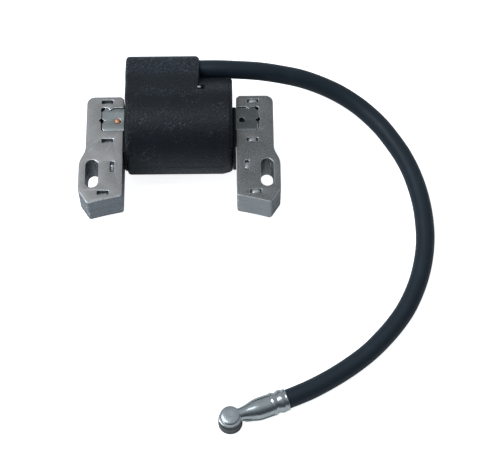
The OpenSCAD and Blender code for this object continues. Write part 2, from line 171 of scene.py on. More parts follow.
def make_piece(
    name: str,
    surface: Surface,
    material: bpy.types.Material,
    nodes: tuple[str, ...] = (),
    weld: bool = False,
    crease: float = 35.0,
    closed: bool = True,
) -> bpy.types.Object:
    """Turns a surface into an object that rides on the part's body.

    A closed surface's faces are turned outwards by the sign of its volume: the sum over faces of the
    triple product of their corners. An open sheet's faces are turned upwards.

    Args:
        name: the piece's name.
        surface: its points and faces, in millimetres.
        material: its finish.
        nodes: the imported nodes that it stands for.
        weld: whether doubled points are merged, as at a pole.
        crease: edges sharper than this many degrees are shaded sharp.
        closed: whether the surface is a closed shell.

    Returns:
        The new object.
    """
    points = surface.points
    a, b, c, d = (points[surface.quads[:, i]] for i in range(4))
    e, f, g = (points[surface.tris[:, i]] for i in range(3))
    if closed:
        size = (np.cross(a, b) * c).sum() + (np.cross(a, c) * d).sum() + (np.cross(e, f) * g).sum()
    else:
        size = np.cross(c - a, d - b)[:, 2].sum()
    quads, tris = surface.quads, surface.tris
    if size < 0:
        quads, tris = quads[:, ::-1], tris[:, ::-1]
    mesh = bpy.data.meshes.new(name)
    mesh.from_pydata((points * MM).tolist(), [], quads.tolist() + tris.tolist())
    for mark, value in surface.marks.items():
        mesh.attributes.new(mark, "FLOAT", "POINT").data.foreach_set("value", value.astype(np.float32))
    smooth = np.arange(len(quads) + len(tris)) < len(quads)
    mesh.polygons.foreach_set("use_smooth", smooth)
    if weld:
        work = bmesh.new()
        work.from_mesh(mesh)
        bmesh.ops.remove_doubles(work, verts=work.verts, dist=1e-6)
        bmesh.ops.dissolve_degenerate(work, edges=work.edges, dist=1e-7)
        if closed:
            bmesh.ops.recalc_face_normals(work, faces=work.faces)
        work.to_mesh(mesh)
        work.free()
    mesh.set_sharp_from_angle(angle=math.radians(crease))
    mesh.materials.append(material)
    made = bpy.data.objects.new(name, mesh)
    bpy.context.scene.collection.objects.link(made)
    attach(made, BODY)
    if nodes:
        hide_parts(*nodes)
    log.info("%s: %d points, %d faces", name, len(mesh.vertices), len(mesh.polygons))
    return made


def soft_max(a: Array, b: Array, width: float) -> Array:
    """The larger of two values, rounded over where they meet: half of a + b + sqrt((a - b)^2 + width^2)."""
    return 0.5 * (a + b + np.sqrt((a - b) ** 2 + width * width))


def smooth_step(x: Array) -> Array:
    """Runs from 0 to 1 as x does, level at both ends."""
    t = np.clip(x, 0, 1)
    return t * t * (3 - 2 * t)


def bell(x: Array, middle: float, width: float) -> Array:
    """A bell curve, exp(-((x - middle) / width)^2)."""
    return np.exp(-(((x - middle) / width) ** 2))


def unit(rows: Array) -> Array:
    """Scales each row of a set of directions to length 1."""
    return rows / np.linalg.norm(rows, axis=-1, keepdims=True)


def border(grid: Array) -> Array:
    """The points along the border of a grid, once round."""
    return np.concatenate([grid[:, 0], grid[-1, 1:], grid[-2::-1, -1], grid[0, -2:0:-1]])


def arc(centre: tuple[float, float], radius: float, start: float, end: float, steps: int) -> Array:
    """Points on a circle from one angle to another, in degrees."""
    turn = np.radians(np.linspace(start, end, steps))
    return np.stack([centre[0] + radius * np.cos(turn), centre[1] + radius * np.sin(turn)], 1)


def filleted(corners: Array, radii: Array, steps: int = 9) -> Array:
    """Rounds the corners of an outline.

    Each corner gives an arc that touches both of its sides: the arc's middle lies on the line that
    halves the corner, radius / sin(half the corner) away, and it starts radius / tan(half) along a side.

    Args:
        corners: the outline's corners, in order.
        radii: one radius for each corner, 0 for a sharp one.
        steps: points on each arc.

    Returns:
        The rounded outline.
    """
    back, ahead = unit(np.roll(corners, 1, 0) - corners), unit(np.roll(corners, -1, 0) - corners)
    half = 0.5 * np.arccos(np.clip((back * ahead).sum(1), -1, 1))
    middle = back + ahead
    length = np.linalg.norm(middle, axis=1, keepdims=True)
    middle = np.divide(middle, length, out=np.zeros_like(middle), where=length > 1e-9)
    centre = corners + middle * (radii / np.sin(half))[:, None]
    reach = (radii / np.tan(half))[:, None]
    first, last = corners + back * reach - centre, corners + ahead * reach - centre
    a0 = np.arctan2(first[:, 1], first[:, 0])
    sweep = (np.arctan2(last[:, 1], last[:, 0]) - a0 + math.pi) % (2 * math.pi) - math.pi
    turn = a0[:, None] + sweep[:, None] * np.linspace(0, 1, steps)
    path = centre[:, None] + radii[:, None, None] * np.stack([np.cos(turn), np.sin(turn)], -1)
    return without_doubles(path.reshape(-1, 2))


def without_doubles(loop: Array) -> Array:
    """Drops each point of a closed outline that lies on the one before it."""
    return loop[np.linalg.norm(loop - np.roll(loop, 1, 0), axis=1) > 1e-3]


def corner_directions(loop: Array) -> Array:
    """Gives each corner of an outline the direction away from the material.

    It is the mean of the two sides' right-hand directions, lengthened by one over the cosine of half
    the turn, so that a step along it moves both sides by the same amount.

    Args:
        loop: the outline, anticlockwise round material and clockwise round a hole.

    Returns:
        One direction for each corner.
    """
    ahead = unit(np.roll(loop, -1, 0) - loop)
    right = np.stack([ahead[:, 1], -ahead[:, 0]], 1)
    both = unit(right + np.roll(right, 1, 0))
    return both / np.clip((both * right).sum(1), 0.4, None)[:, None]


@dataclass(frozen=True)
class Slab:
    """A flat plate cut from sheet, with rolled edges.

    Args:
        low: height of its lower face.
        high: height of its upper face.
        roll_low: radius of the lower edge.
        roll_high: radius of the upper edge.
        steps: points on each rolled edge.
    """

    low: float
    high: float
    roll_low: float
    roll_high: float
    steps: int = 4

    def surface(self, outer: Array, holes: list[Array]) -> Surface:
        """Carries a wall round each outline and closes it with flat caps.

        The wall's profile goes up from the lower face: a quarter circle out to the outline, straight
        up, and a quarter circle in to the upper face. Marks: edge is 1 on the middle of a rolled edge,
        and cut is 1 on the straight wall.

        Args:
            outer: the outline, anticlockwise.
            holes: the outlines of its holes, clockwise.

        Returns:
            The closed plate, with Z as its height.
        """
        turn = np.linspace(0, math.pi / 2, self.steps)
        drawn, risen = 1 - np.sin(turn), 1 - np.cos(turn)
        inset = np.concatenate([self.roll_low * drawn, self.roll_high * risen])
        height = np.concatenate([self.low + self.roll_low * risen, self.high - self.roll_high * drawn])
        rounding = np.sin(2 * turn)
        edge = np.concatenate([rounding, rounding])
        cut = np.concatenate([np.sin(turn), np.cos(turn)]) ** 2
        parts, lids, feet = [], [], []
        rings, start = len(inset), 0
        for loop in [outer, *holes]:
            flat = loop[None] - corner_directions(loop)[None] * inset[:, None, None]
            level = np.broadcast_to(height[:, None, None], flat.shape[:2] + (1,))
            grid = np.concatenate([flat, level], -1)
            part = grid_surface(grid)
            part.marks = {"edge": np.repeat(edge, len(loop)), "cut": np.repeat(cut, len(loop))}
            parts.append(part)
            feet.append(np.arange(len(loop)) + start)
            lids.append(np.arange(len(loop)) + start + (rings - 1) * len(loop))
            start += rings * len(loop)
        body = joined(parts)
        caps = [self.cap(body.points, numbers, up) for numbers, up in ((feet, False), (lids, True))]
        return Surface(body.points, body.quads, np.concatenate(caps), body.marks)

    @staticmethod
    def cap(points: Array, loops: list[Array], up: bool) -> Array:
        """Fills the flat face between several outlines.

        Args:
            points: all points of the plate.
            loops: the point numbers of each outline.
            up: whether the face looks up.

        Returns:
            Rows of three point numbers.
        """
        found = np.array(tessellate_polygon([points[numbers].tolist() for numbers in loops]), int)
        tris = np.concatenate(loops)[found]
        a, b, c = (points[tris[:, i], :2] for i in range(3))
        ab, ac = b - a, c - a
        area = ab[:, 0] * ac[:, 1] - ab[:, 1] * ac[:, 0]
        wrong = (area > 0) != up
        tris[wrong] = tris[wrong][:, ::-1]
        return tris


def lathe(profile: Array, sides: int) -> Array:
    """Turns a profile about Z: each of its points becomes a ring.

    Args:
        profile: rows of radius and height.
        sides: points round each ring.

    Returns:
        A grid of points, one row for each ring.
    """
    turn = np.arange(sides) * (2 * math.pi / sides)
    r, z = profile[:, :1], profile[:, 1:]
    return np.stack(np.broadcast_arrays(r * np.cos(turn), r * np.sin(turn), z), -1)


def along_x(points: Array) -> Array:
    """Lays what stands on Z down along X: height becomes X."""
    return points[..., [2, 0, 1]]


def frame_at(x: float, y: float, z: float, turn: float = 0.0) -> Array:
    """A 4 by 4 matrix that turns about Z by degrees and shifts by millimetres."""
    return np.array(Matrix.Translation((x, y, z)) @ Matrix.Rotation(math.radians(turn), 4, "Z"))


# ---------------------------------------------------------------- shader nodes


class Graph:
    """A node tree with short calls that add nodes and join them."""

    def __init__(self, tree: bpy.types.NodeTree) -> None:
        """Keeps the tree that the calls work on."""
        self.tree = tree

    def feed(self, socket: bpy.types.NodeSocket, value: object) -> None:
        """Links a socket, or sets a plain value, on an input.

        Args:
            socket: the input.
            value: a socket to link, or the value to set.
        """
        if isinstance(value, bpy.types.NodeSocket):
            self.tree.links.new(value, socket)
        elif isinstance(value, tuple) and len(value) == 3 and socket.type == "RGBA":
            socket.default_value = (*value, 1.0)
        else:
            socket.default_value = value

    def node(
        self, kind: str, inputs: dict[object, object] | None = None, **settings: object
    ) -> bpy.types.Node:
        """Adds a node.

        Args:
            kind: the node's type name.
            inputs: what feeds each input, by name or number.
            settings: the node's own properties.

        Returns:
            The new node.
        """
        made = self.tree.nodes.new(kind)
        for key, value in settings.items():
            setattr(made, key, value)
        for key, value in (inputs or {}).items():
            self.feed(made.inputs[key], value)
        return made

    def calc(
        self, operation: str, a: object, b: object = 0.0, clamp: bool = False
    ) -> bpy.types.NodeSocket:
        """Adds a Math node and returns its result."""
        return self.node("ShaderNodeMath", {0: a, 1: b}, operation=operation, use_clamp=clamp).outputs[0]

    def spread(
        self, value: object, low: float, high: float, to_low: float = 0.0, to_high: float = 1.0
    ) -> bpy.types.NodeSocket:
        """Maps a value from one range to another, level at both ends, and returns the result."""
        inputs = {"Value": value, "From Min": low, "From Max": high, "To Min": to_low, "To Max": to_high}
        return self.node("ShaderNodeMapRange", inputs, interpolation_type="SMOOTHSTEP").outputs[0]

    def blend(self, factor: object, a: object, b: object) -> bpy.types.NodeSocket:
        """Mixes two colours and returns the result. A colour Mix has them at inputs 6 and 7."""
        return self.node("ShaderNodeMix", {0: factor, 6: a, 7: b}, data_type="RGBA").outputs[2]

    def noise(
        self, vector: object, scale: object, detail: float = 3.0, rough: float = 0.55
    ) -> bpy.types.NodeSocket:
        """Adds a Noise texture and returns its value."""
        inputs = {"Vector": vector, "Scale": scale, "Detail": detail, "Roughness": rough}
        return self.node("ShaderNodeTexNoise", inputs).outputs[0]

    def place(self) -> bpy.types.NodeSocket:
        """Returns the Object coordinates."""
        return self.node("ShaderNodeTexCoord").outputs["Object"]

    def axis(self, vector: object, number: int) -> bpy.types.NodeSocket:
        """Returns a vector's X, Y or Z, by its number."""
        return self.node("ShaderNodeSeparateXYZ", {0: vector}).outputs[number]

    def mark(self, name: str) -> bpy.types.NodeSocket:
        """Returns a value that the mesh carries under a name."""
        return self.node("ShaderNodeAttribute", attribute_name=name).outputs["Fac"]

    def group(self, tree: bpy.types.NodeTree, **inputs: object) -> bpy.types.Node:
        """Places a node group and feeds its inputs."""
        made = self.node("ShaderNodeGroup", node_tree=tree)
        for key, value in inputs.items():
            self.feed(made.inputs[key], value)
        return made

    def bump(
        self, height: object, strength: float, distance: float, normal: object = None
    ) -> bpy.types.NodeSocket:
        """Adds a Bump node.

        Args:
            height: the surface's height.
            strength: how strongly it shows.
            distance: the height's scale, in millimetres.
            normal: a normal that it adds to.

        Returns:
            The bumped normal.
        """
        inputs = {"Height": height, "Strength": strength, "Distance": distance * MM}
        if normal is not None:
            inputs["Normal"] = normal
        return self.node("ShaderNodeBump", inputs).outputs[0]


def new_group(
    name: str, inputs: dict[str, tuple[str, object]], outputs: dict[str, str]
) -> tuple[Graph, dict, dict]:
    """Starts a shader node group.

    Args:
        name: the group's name.
        inputs: each input's socket type and default value.
        outputs: each output's socket type.

    Returns:
        The group's graph, its inputs to read from, and its outputs to feed.
    """
    tree = bpy.data.node_groups.new(name, "ShaderNodeTree")
    for key, (kind, default) in inputs.items():
        socket = tree.interface.new_socket(key, in_out="INPUT", socket_type=kind)
        if default is not None:
            socket.default_value = default
    for key, kind in outputs.items():
        tree.interface.new_socket(key, in_out="OUTPUT", socket_type=kind)
    graph = Graph(tree)
    source, sink = graph.node("NodeGroupInput"), graph.node("NodeGroupOutput")
    return graph, {k: source.outputs[k] for k in inputs}, {k: sink.inputs[k] for k in outputs}


VECTOR, FLOAT = "NodeSocketVector", "NodeSocketFloat"


class Effects:
    """The shared surface effects, each a node group that is built once."""

    def __init__(self) -> None:
        """Builds the four groups."""
        self.worn_edge = self.build_worn_edge()
        self.grain = self.build_grain()
        self.scuffs = self.build_scuffs()
        self.dust = self.build_dust()

    def dusted(self, graph: Graph, colour: object, amount: float, dust: Colour) -> bpy.types.NodeSocket:
        """Lays dust over a colour.

        Args:
            graph: the material's graph.
            colour: the colour under the dust.
            amount: how much dust there is.
            dust: the dust's colour.

        Returns:
            The dusty colour.
        """
        normal = graph.node("ShaderNodeNewGeometry").outputs["Normal"]
        mask = graph.group(self.dust, Vector=graph.place(), Normal=normal, Amount=amount).outputs[0]
        return graph.blend(mask, colour, dust)

    @staticmethod
    def build_worn_edge() -> bpy.types.NodeTree:
        """Bright wear on a rolled edge: the edge mark, broken up by noise."""
        graph, given, out = new_group(
            "worn edge",
            {
                "Vector": (VECTOR, None), "Edge": (FLOAT, 0.0),
                "Scale": (FLOAT, 400.0), "Coverage": (FLOAT, 0.6),
            },
            {"Mask": FLOAT},
        )
        noise = graph.noise(given["Vector"], given["Scale"], 4.0, 0.6)
        gate = graph.calc("SUBTRACT", 1.05, given["Coverage"])
        worn = graph.calc("SUBTRACT", graph.calc("ADD", noise, 0.25), gate)
        worn = graph.calc("MULTIPLY", worn, 4.0, clamp=True)
        graph.feed(out["Mask"], graph.calc("MULTIPLY", worn, given["Edge"], clamp=True))
        return graph.tree

    @staticmethod
    def build_grain() -> bpy.types.NodeTree:
        """Fine moulded or annealed grain: two sizes of noise over small cells."""
        graph, given, out = new_group(
            "fine grain",
            {"Vector": (VECTOR, None), "Scale": (FLOAT, 1500.0)},
            {"Height": FLOAT, "Painted Glints": FLOAT},
        )
        coarse = graph.noise(given["Vector"], given["Scale"], 4.0, 0.65)
        cells = graph.node(
            "ShaderNodeTexVoronoi", {"Vector": given["Vector"], "Scale": given["Scale"]}
        ).outputs[0]
        height = graph.calc("ADD", graph.calc("MULTIPLY", coarse, 0.7), graph.calc("MULTIPLY", cells, 0.3))
        graph.feed(out["Height"], height)
        # the spots at the cells' middles are the mask for painted glints on the grain
        graph.feed(out["Painted Glints"], graph.spread(cells, 0.36, 0.12))
        return graph.tree

    @staticmethod
    def build_scuffs() -> bpy.types.NodeTree:
        """Thin scuffs: the crossings of a strongly stretched noise with its middle value."""
        graph, given, out = new_group(
            "thin scuffs",
            {
                "Vector": (VECTOR, None), "Scale": (FLOAT, 90.0),
                "Turn": (FLOAT, 0.6), "Width": (FLOAT, 0.012),
            },
            {"Mask": FLOAT},
        )
        turned = graph.node(
            "ShaderNodeVectorRotate", {"Vector": given["Vector"], "Angle": given["Turn"]}, rotation_type="Z_AXIS"
        ).outputs[0]
        squeezed = graph.node(
            "ShaderNodeVectorMath", {0: turned, 1: (1.0, 0.12, 1.0)}, operation="MULTIPLY"
        ).outputs[0]
        lines = graph.noise(squeezed, given["Scale"], 2.0, 0.5)
        near = graph.calc("ABSOLUTE", graph.calc("SUBTRACT", lines, 0.5))
        thin = graph.calc("SUBTRACT", 1.0, graph.calc("DIVIDE", near, given["Width"]), clamp=True)
        patches = graph.spread(graph.noise(given["Vector"], 160.0, 1.0), 0.55, 0.68)
        graph.feed(out["Mask"], graph.calc("MULTIPLY", thin, patches, clamp=True))
        return graph.tree

    @staticmethod
    def build_dust() -> bpy.types.NodeTree:
        """Light dust that lies on faces that look up, in loose patches."""
        graph, given, out = new_group(
            "settled dust",
            {"Vector": (VECTOR, None), "Normal": (VECTOR, None), "Amount": (FLOAT, 0.5)},
            {"Mask": FLOAT},
        )
        up = graph.axis(given["Normal"], 2)
        fine = graph.spread(graph.noise(given["Vector"], 2600.0, 2.0, 0.7), 0.62, 0.78)
        wide = graph.spread(graph.noise(given["Vector"], 120.0, 3.0), 0.42, 0.7)
        lying = graph.calc("MULTIPLY", graph.spread(up, 0.25, 0.95), graph.calc("MULTIPLY", fine, wide))
        graph.feed(out["Mask"], graph.calc("MULTIPLY", lying, given["Amount"], clamp=True))
        return graph.tree


def new_material(name: str) -> tuple[bpy.types.Material, Graph, bpy.types.Node]:
    """Starts a material.

    Args:
        name: the material's name.

    Returns:
        The material, its graph and its Principled shader.
    """
    material = bpy.data.materials.new(name)
    material.use_nodes = True
    return material, Graph(material.node_tree), material.node_tree.nodes["Principled BSDF"]


@dataclass(frozen=True)
class SteelFinish:
    """Annealed lamination steel, mottled on its faces, ground on its cut sides and bright on its edges.

    Args:
        name: the material's name.
        face: colour of the sheet's faces.
        cut: colour of the sheared and ground sides; the interlock steel's near-black cut colour is painted shade.
        roughness: roughness of the faces.
        bright: colour of the worn edges.
        mottle: how strongly the faces vary, from 0 to 1.
        wear: how much of the edges is bright, from 0 to 1.
        plus_x_darkening: how much darker the faces are towards +X, from 0 to 1.
    """

    name: str
    face: Colour
    cut: Colour
    roughness: float
    bright: Colour = (0.8, 0.81, 0.83)
    mottle: float = 0.3
    wear: float = 0.75
    plus_x_darkening: float = 0.0

    def build(self, effects: Effects) -> bpy.types.Material:
        """Builds the material.

        The faces vary between a darker and a lighter tone in broad patches, under fine bright flecks.
        The cut mark colours the cut walls, the shade mark paints shade on them, and scuffs and
        worn edges lie over everything.

        Args:
            effects: the shared effects.

        Returns:
            The material.
        """
        material, graph, shader = new_material(self.name)
        place = graph.place()
        broad = graph.spread(graph.noise(place, 95.0, 5.0, 0.6), 0.3, 0.7)
        fine = graph.noise(place, 1900.0, 3.0, 0.7)
        dark = tuple(c * (1 - 0.55 * self.mottle) for c in self.face)
        light = tuple(min(1.0, c * (1 + 0.35 * self.mottle)) for c in self.face)
        colour = graph.blend(broad, dark, light)
        flecked = graph.blend(0.22, colour, self.bright)
        colour = graph.blend(graph.spread(fine, 0.35, 0.75), colour, flecked)
        if self.plus_x_darkening:
            side = graph.spread(graph.axis(place, 0), -0.01, 0.01)
            colour = graph.blend(graph.calc("MULTIPLY", side, self.plus_x_darkening), colour, BLACK)
        colour = graph.blend(graph.mark("cut"), colour, self.cut)
        # painted shade: the shade mark darkens the walls towards black
        colour = graph.blend(graph.mark("shade"), colour, BLACK)
        scuffs = graph.group(effects.scuffs, Vector=place, Scale=110.0, Turn=0.5, Width=0.02).outputs[0]
        colour = graph.blend(graph.calc("MULTIPLY", scuffs, 0.2), colour, self.bright)
        worn = graph.group(
            effects.worn_edge, Vector=place, Edge=graph.mark("edge"), Scale=420.0, Coverage=self.wear
        ).outputs[0]
        graph.feed(shader.inputs["Base Color"], graph.blend(worn, colour, self.bright))
        shader.inputs["Metallic"].default_value = 1.0
        rough = graph.spread(fine, 0.3, 0.7, self.roughness - 0.07, self.roughness + 0.1)
        rough = graph.calc("SUBTRACT", rough, graph.calc("MULTIPLY", worn, 0.12))
        graph.feed(shader.inputs["Roughness"], rough)
        grain = graph.group(effects.grain, Vector=place, Scale=1700.0).outputs["Height"]
        graph.feed(shader.inputs["Normal"], graph.bump(grain, 0.35, 0.05))
        return material


@dataclass(frozen=True)
class PlasticFinish:
    """Moulded plastic with a fine grain, pale spots painted as glints on it, a little dust and a painted highlight.

    Args:
        name: the material's name.
        base: its colour.
        pale: colour of the painted glints and of the painted highlight.
        roughness: its roughness.
        grain_scale: how fine the grain is, in cells a metre.
        grain_depth: height of the grain, in millimetres.
        specular: its specular level.
        dust: how much dust lies on it.
        painted_highlight: how strongly a painted highlight turns the grain pale on the part that lies farthest from
            the flywheel.
    """

    name: str
    base: Colour
    pale: Colour
    roughness: float
    grain_scale: float
    grain_depth: float = 0.02
    specular: float = 0.5
    dust: float = 0.0
    painted_highlight: float = 0.0

    def build(self, effects: Effects) -> bpy.types.Material:
        """Builds the material: two tones in wide patches, painted glints in loose groups, dust and a painted
        highlight.

        Args:
            effects: the shared effects.

        Returns:
            The material.
        """
        material, graph, shader = new_material(self.name)
        place = graph.place()
        grain = graph.group(effects.grain, Vector=place, Scale=self.grain_scale)
        tone = graph.spread(graph.noise(place, 60.0, 3.0), 0.3, 0.7)
        colour = graph.blend(tone, self.base, tuple(c * 1.35 for c in self.base))
        # painted glints: pale spots in loose patches stand in for glints on the grain
        patches = graph.spread(graph.noise(place, 140.0, 4.0), 0.45, 0.68)
        painted_glints = graph.calc("MULTIPLY", grain.outputs["Painted Glints"], graph.calc("MULTIPLY", patches, 0.75))
        colour = graph.blend(painted_glints, colour, self.pale)
        colour = effects.dusted(graph, colour, self.dust, (0.32, 0.32, 0.31))
        # painted highlight: the part farthest from the flywheel is turned pale in mottled patches
        if self.painted_highlight:
            behind = graph.spread(graph.axis(place, 1), 0.019, 0.026)
            mottle = graph.spread(graph.noise(place, 900.0, 4.0, 0.7), 0.42, 0.7)
            share = graph.calc("MULTIPLY", behind, graph.calc("MULTIPLY", mottle, self.painted_highlight))
            colour = graph.blend(share, colour, self.pale)
        graph.feed(shader.inputs["Base Color"], colour)
        height = grain.outputs["Height"]
        rough = graph.spread(height, 0.25, 0.75, self.roughness - 0.08, self.roughness + 0.1)
        graph.feed(shader.inputs["Roughness"], rough)
        shader.inputs["Specular IOR Level"].default_value = self.specular
        graph.feed(shader.inputs["Normal"], graph.bump(height, 0.8, self.grain_depth))
        return material


@dataclass(frozen=True)
class RubberFinish:
    """Matt rubber jacket with faint drawn lines along it and worn, slightly paler patches.

    Args:
        name: the material's name.
        base: its colour.
        pale: colour of the worn patches.
        roughness: its roughness.
        specular: its specular level.
        dust: how much dust lies on it.
    """

    name: str
    base: Colour
    pale: Colour
    roughness: float
    specular: float
    dust: float = 0.3

    def build(self, effects: Effects) -> bpy.types.Material:
        """Builds the material. The mesh's along and around marks make the drawn lines follow the lead.

        Args:
            effects: the shared effects.

        Returns:
            The material.
        """
        material, graph, shader = new_material(self.name)
        place = graph.place()
        along = graph.calc("MULTIPLY", graph.mark("along"), 0.02)
        skin = graph.node("ShaderNodeCombineXYZ", {0: along, 1: graph.mark("around")}).outputs[0]
        lines = graph.noise(skin, 9.0, 3.0, 0.6)
        patches = graph.spread(graph.noise(place, 70.0, 4.0, 0.6), 0.45, 0.75)
        colour = graph.blend(patches, self.base, self.pale)
        graph.feed(shader.inputs["Base Color"], effects.dusted(graph, colour, self.dust, (0.3, 0.3, 0.3)))
        rough = graph.spread(lines, 0.3, 0.7, self.roughness - 0.06, self.roughness + 0.08)
        graph.feed(shader.inputs["Roughness"], rough)
        shader.inputs["Specular IOR Level"].default_value = self.specular
        grain = graph.group(effects.grain, Vector=place, Scale=2300.0).outputs["Height"]
        normal = graph.bump(grain, 0.5, 0.03)
        graph.feed(shader.inputs["Normal"], graph.bump(lines, 0.4, 0.05, normal))
        return material


@dataclass(frozen=True)
class PlatedFinish:
    """Bright or dull metal: zinc plate, tin, copper or brass, with clouding, stains and scuffs.

    Args:
        name: the material's name.
        base: its colour.
        cloud: colour of the duller clouds.
        stain: colour of the small stains.
        roughness: its roughness.
        stain_cover: how much is stained, from 0 to 1.
        grain_scale: how fine the surface is, in cells a metre.
    """

    name: str
    base: Colour
    cloud: Colour
    stain: Colour
    roughness: float
    stain_cover: float
    grain_scale: float

    def build(self, effects: Effects) -> bpy.types.Material:
        """Builds the material: clouds, then small stains, then scuffs, over a softly dented surface.

        Args:
            effects: the shared effects.

        Returns:
            The material.
        """
        material, graph, shader = new_material(self.name)
        place = graph.place()
        clouds = graph.spread(graph.noise(place, 230.0, 5.0, 0.65), 0.35, 0.7)
        colour = graph.blend(clouds, self.base, self.cloud)
        edge = 0.72 - 0.3 * self.stain_cover
        stained = graph.spread(graph.noise(place, 620.0, 3.0, 0.7), edge, edge + 0.12)
        colour = graph.blend(graph.calc("MULTIPLY", stained, 0.7), colour, self.stain)
        scuffs = graph.group(effects.scuffs, Vector=place, Scale=260.0, Turn=1.2, Width=0.03).outputs[0]
        colour = graph.blend(graph.calc("MULTIPLY", scuffs, 0.35), colour, self.stain)
        graph.feed(shader.inputs["Base Color"], colour)
        shader.inputs["Metallic"].default_value = 1.0
        rough = graph.spread(clouds, 0.0, 1.0, self.roughness, self.roughness + 0.12)
        graph.feed(shader.inputs["Roughness"], rough)
        grain = graph.group(effects.grain, Vector=place, Scale=self.grain_scale).outputs["Height"]
        dented = graph.bump(graph.noise(place, 300.0, 2.0), 0.25, 0.12)
        graph.feed(shader.inputs["Normal"], graph.bump(grain, 0.3, 0.02, dented))
        return material


FINISHES: dict[str, SteelFinish | PlasticFinish | RubberFinish | PlatedFinish] = {
    "left_steel": SteelFinish("left leg steel", (0.35, 0.325, 0.308), (0.13, 0.143, 0.155), 0.4),
    "right_steel": SteelFinish("right leg steel", (0.158, 0.152, 0.146), (0.27, 0.28, 0.285), 0.42),
    "bar_steel": SteelFinish("bar steel", (0.256, 0.27, 0.26), (0.11, 0.11, 0.11), 0.4, plus_x_darkening=0.57),
    # painted shade: the tabs' darker face and near-black cut colour stand for the shade in their openings
    "tab_steel": SteelFinish(
        "interlock steel", (0.17, 0.17, 0.172), (0.03, 0.03, 0.032), 0.4, (0.9, 0.9, 0.9), 0.4, 0.8
    ),
    # the case's pale spots are painted glints, and its painted highlight lies on the part farthest from the flywheel
    "case": PlasticFinish(
        "case plastic", (0.0036, 0.0056, 0.0088), (0.11, 0.135, 0.17), 0.42, 1150.0,
        grain_depth=0.42, specular=0.28, dust=0.2, painted_highlight=0.38,
    ),
    "spool": PlasticFinish(
        "spool plastic", (0.003, 0.0034, 0.004), (0.03, 0.03, 0.035), 0.42, 2600.0, specular=0.15, dust=0.05
    ),
    "resin": PlasticFinish("potting resin", (0.006, 0.006, 0.0075), (0.03, 0.03, 0.035), 0.2, 700.0, dust=0.1),
    "ring": PlasticFinish(
        "ring plastic", (0.01, 0.011, 0.013), (0.07, 0.07, 0.08), 0.38, 2000.0, grain_depth=0.03, dust=0.1
    ),
    "film": PlasticFinish("film tape", (0.7, 0.5, 0.16), (0.8, 0.65, 0.3), 0.3, 900.0),
    "board": PlasticFinish("circuit board", (0.03, 0.17, 0.07), (0.2, 0.4, 0.2), 0.4, 1200.0),
    "tan": PlasticFinish("component paint", (0.45, 0.28, 0.15), (0.6, 0.45, 0.3), 0.45, 1800.0),
    "rubber": RubberFinish("lead rubber", (0.0115, 0.0192, 0.0285), (0.016, 0.025, 0.036), 0.5, 0.27),
    "zinc": PlatedFinish(
        "zinc plate", (0.46, 0.48, 0.48), (0.36, 0.39, 0.395), (0.26, 0.29, 0.3), 0.2, 0.12, 2200.0
    ),
    "tin": PlatedFinish("tinned wire", (0.75, 0.74, 0.72), (0.6, 0.6, 0.58), (0.3, 0.3, 0.3), 0.28, 0.1, 3000.0),
    "copper": PlatedFinish(
        "bare copper", (0.85, 0.4, 0.22), (0.72, 0.32, 0.17), (0.35, 0.13, 0.07), 0.34, 0.25, 3200.0
    ),
    "wire": PlatedFinish("enamelled wire", (0.5, 0.17, 0.07), (0.4, 0.13, 0.05), (0.2, 0.06, 0.03), 0.3, 0.1, 2500.0),
    "brass": PlatedFinish("plain brass", (0.75, 0.55, 0.22), (0.65, 0.45, 0.17), (0.3, 0.2, 0.08), 0.3, 0.15, 2500.0),
}
Finishes = dict[str, bpy.types.Material]


def build_finishes(effects: Effects) -> Finishes:
    """Builds every material of the coil and returns them by their short names."""
    return {name: finish.build(effects) for name, finish in FINISHES.items()}


# ---------------------------------------------------------------- the studio


@dataclass(frozen=True)
class SoftLight:
    """A rectangular light that faces the part.

    Args:
        name: its name.
        place: its middle, in metres.
        width: its width in metres.
        depth: its depth in metres.
        power: its power in watts.
    """

    name: str
    place: tuple[float, float, float]
    width: float
    depth: float
    power: float

    def build(self, aim: Vector, colour: Colour) -> None:
        """Hangs the light.

        Args:
            aim: the point that it faces.
            colour: the light's colour.
        """
        data = bpy.data.lights.new(self.name, "AREA")
        data.shape, data.size, data.size_y = "RECTANGLE", self.width, self.depth
        data.energy, data.color = self.power, colour
        made = bpy.data.objects.new(self.name, data)
        made.location = self.place
        made.rotation_euler = (aim - made.location).to_track_quat("-Z", "Y").to_euler()
        bpy.context.scene.collection.objects.link(made)


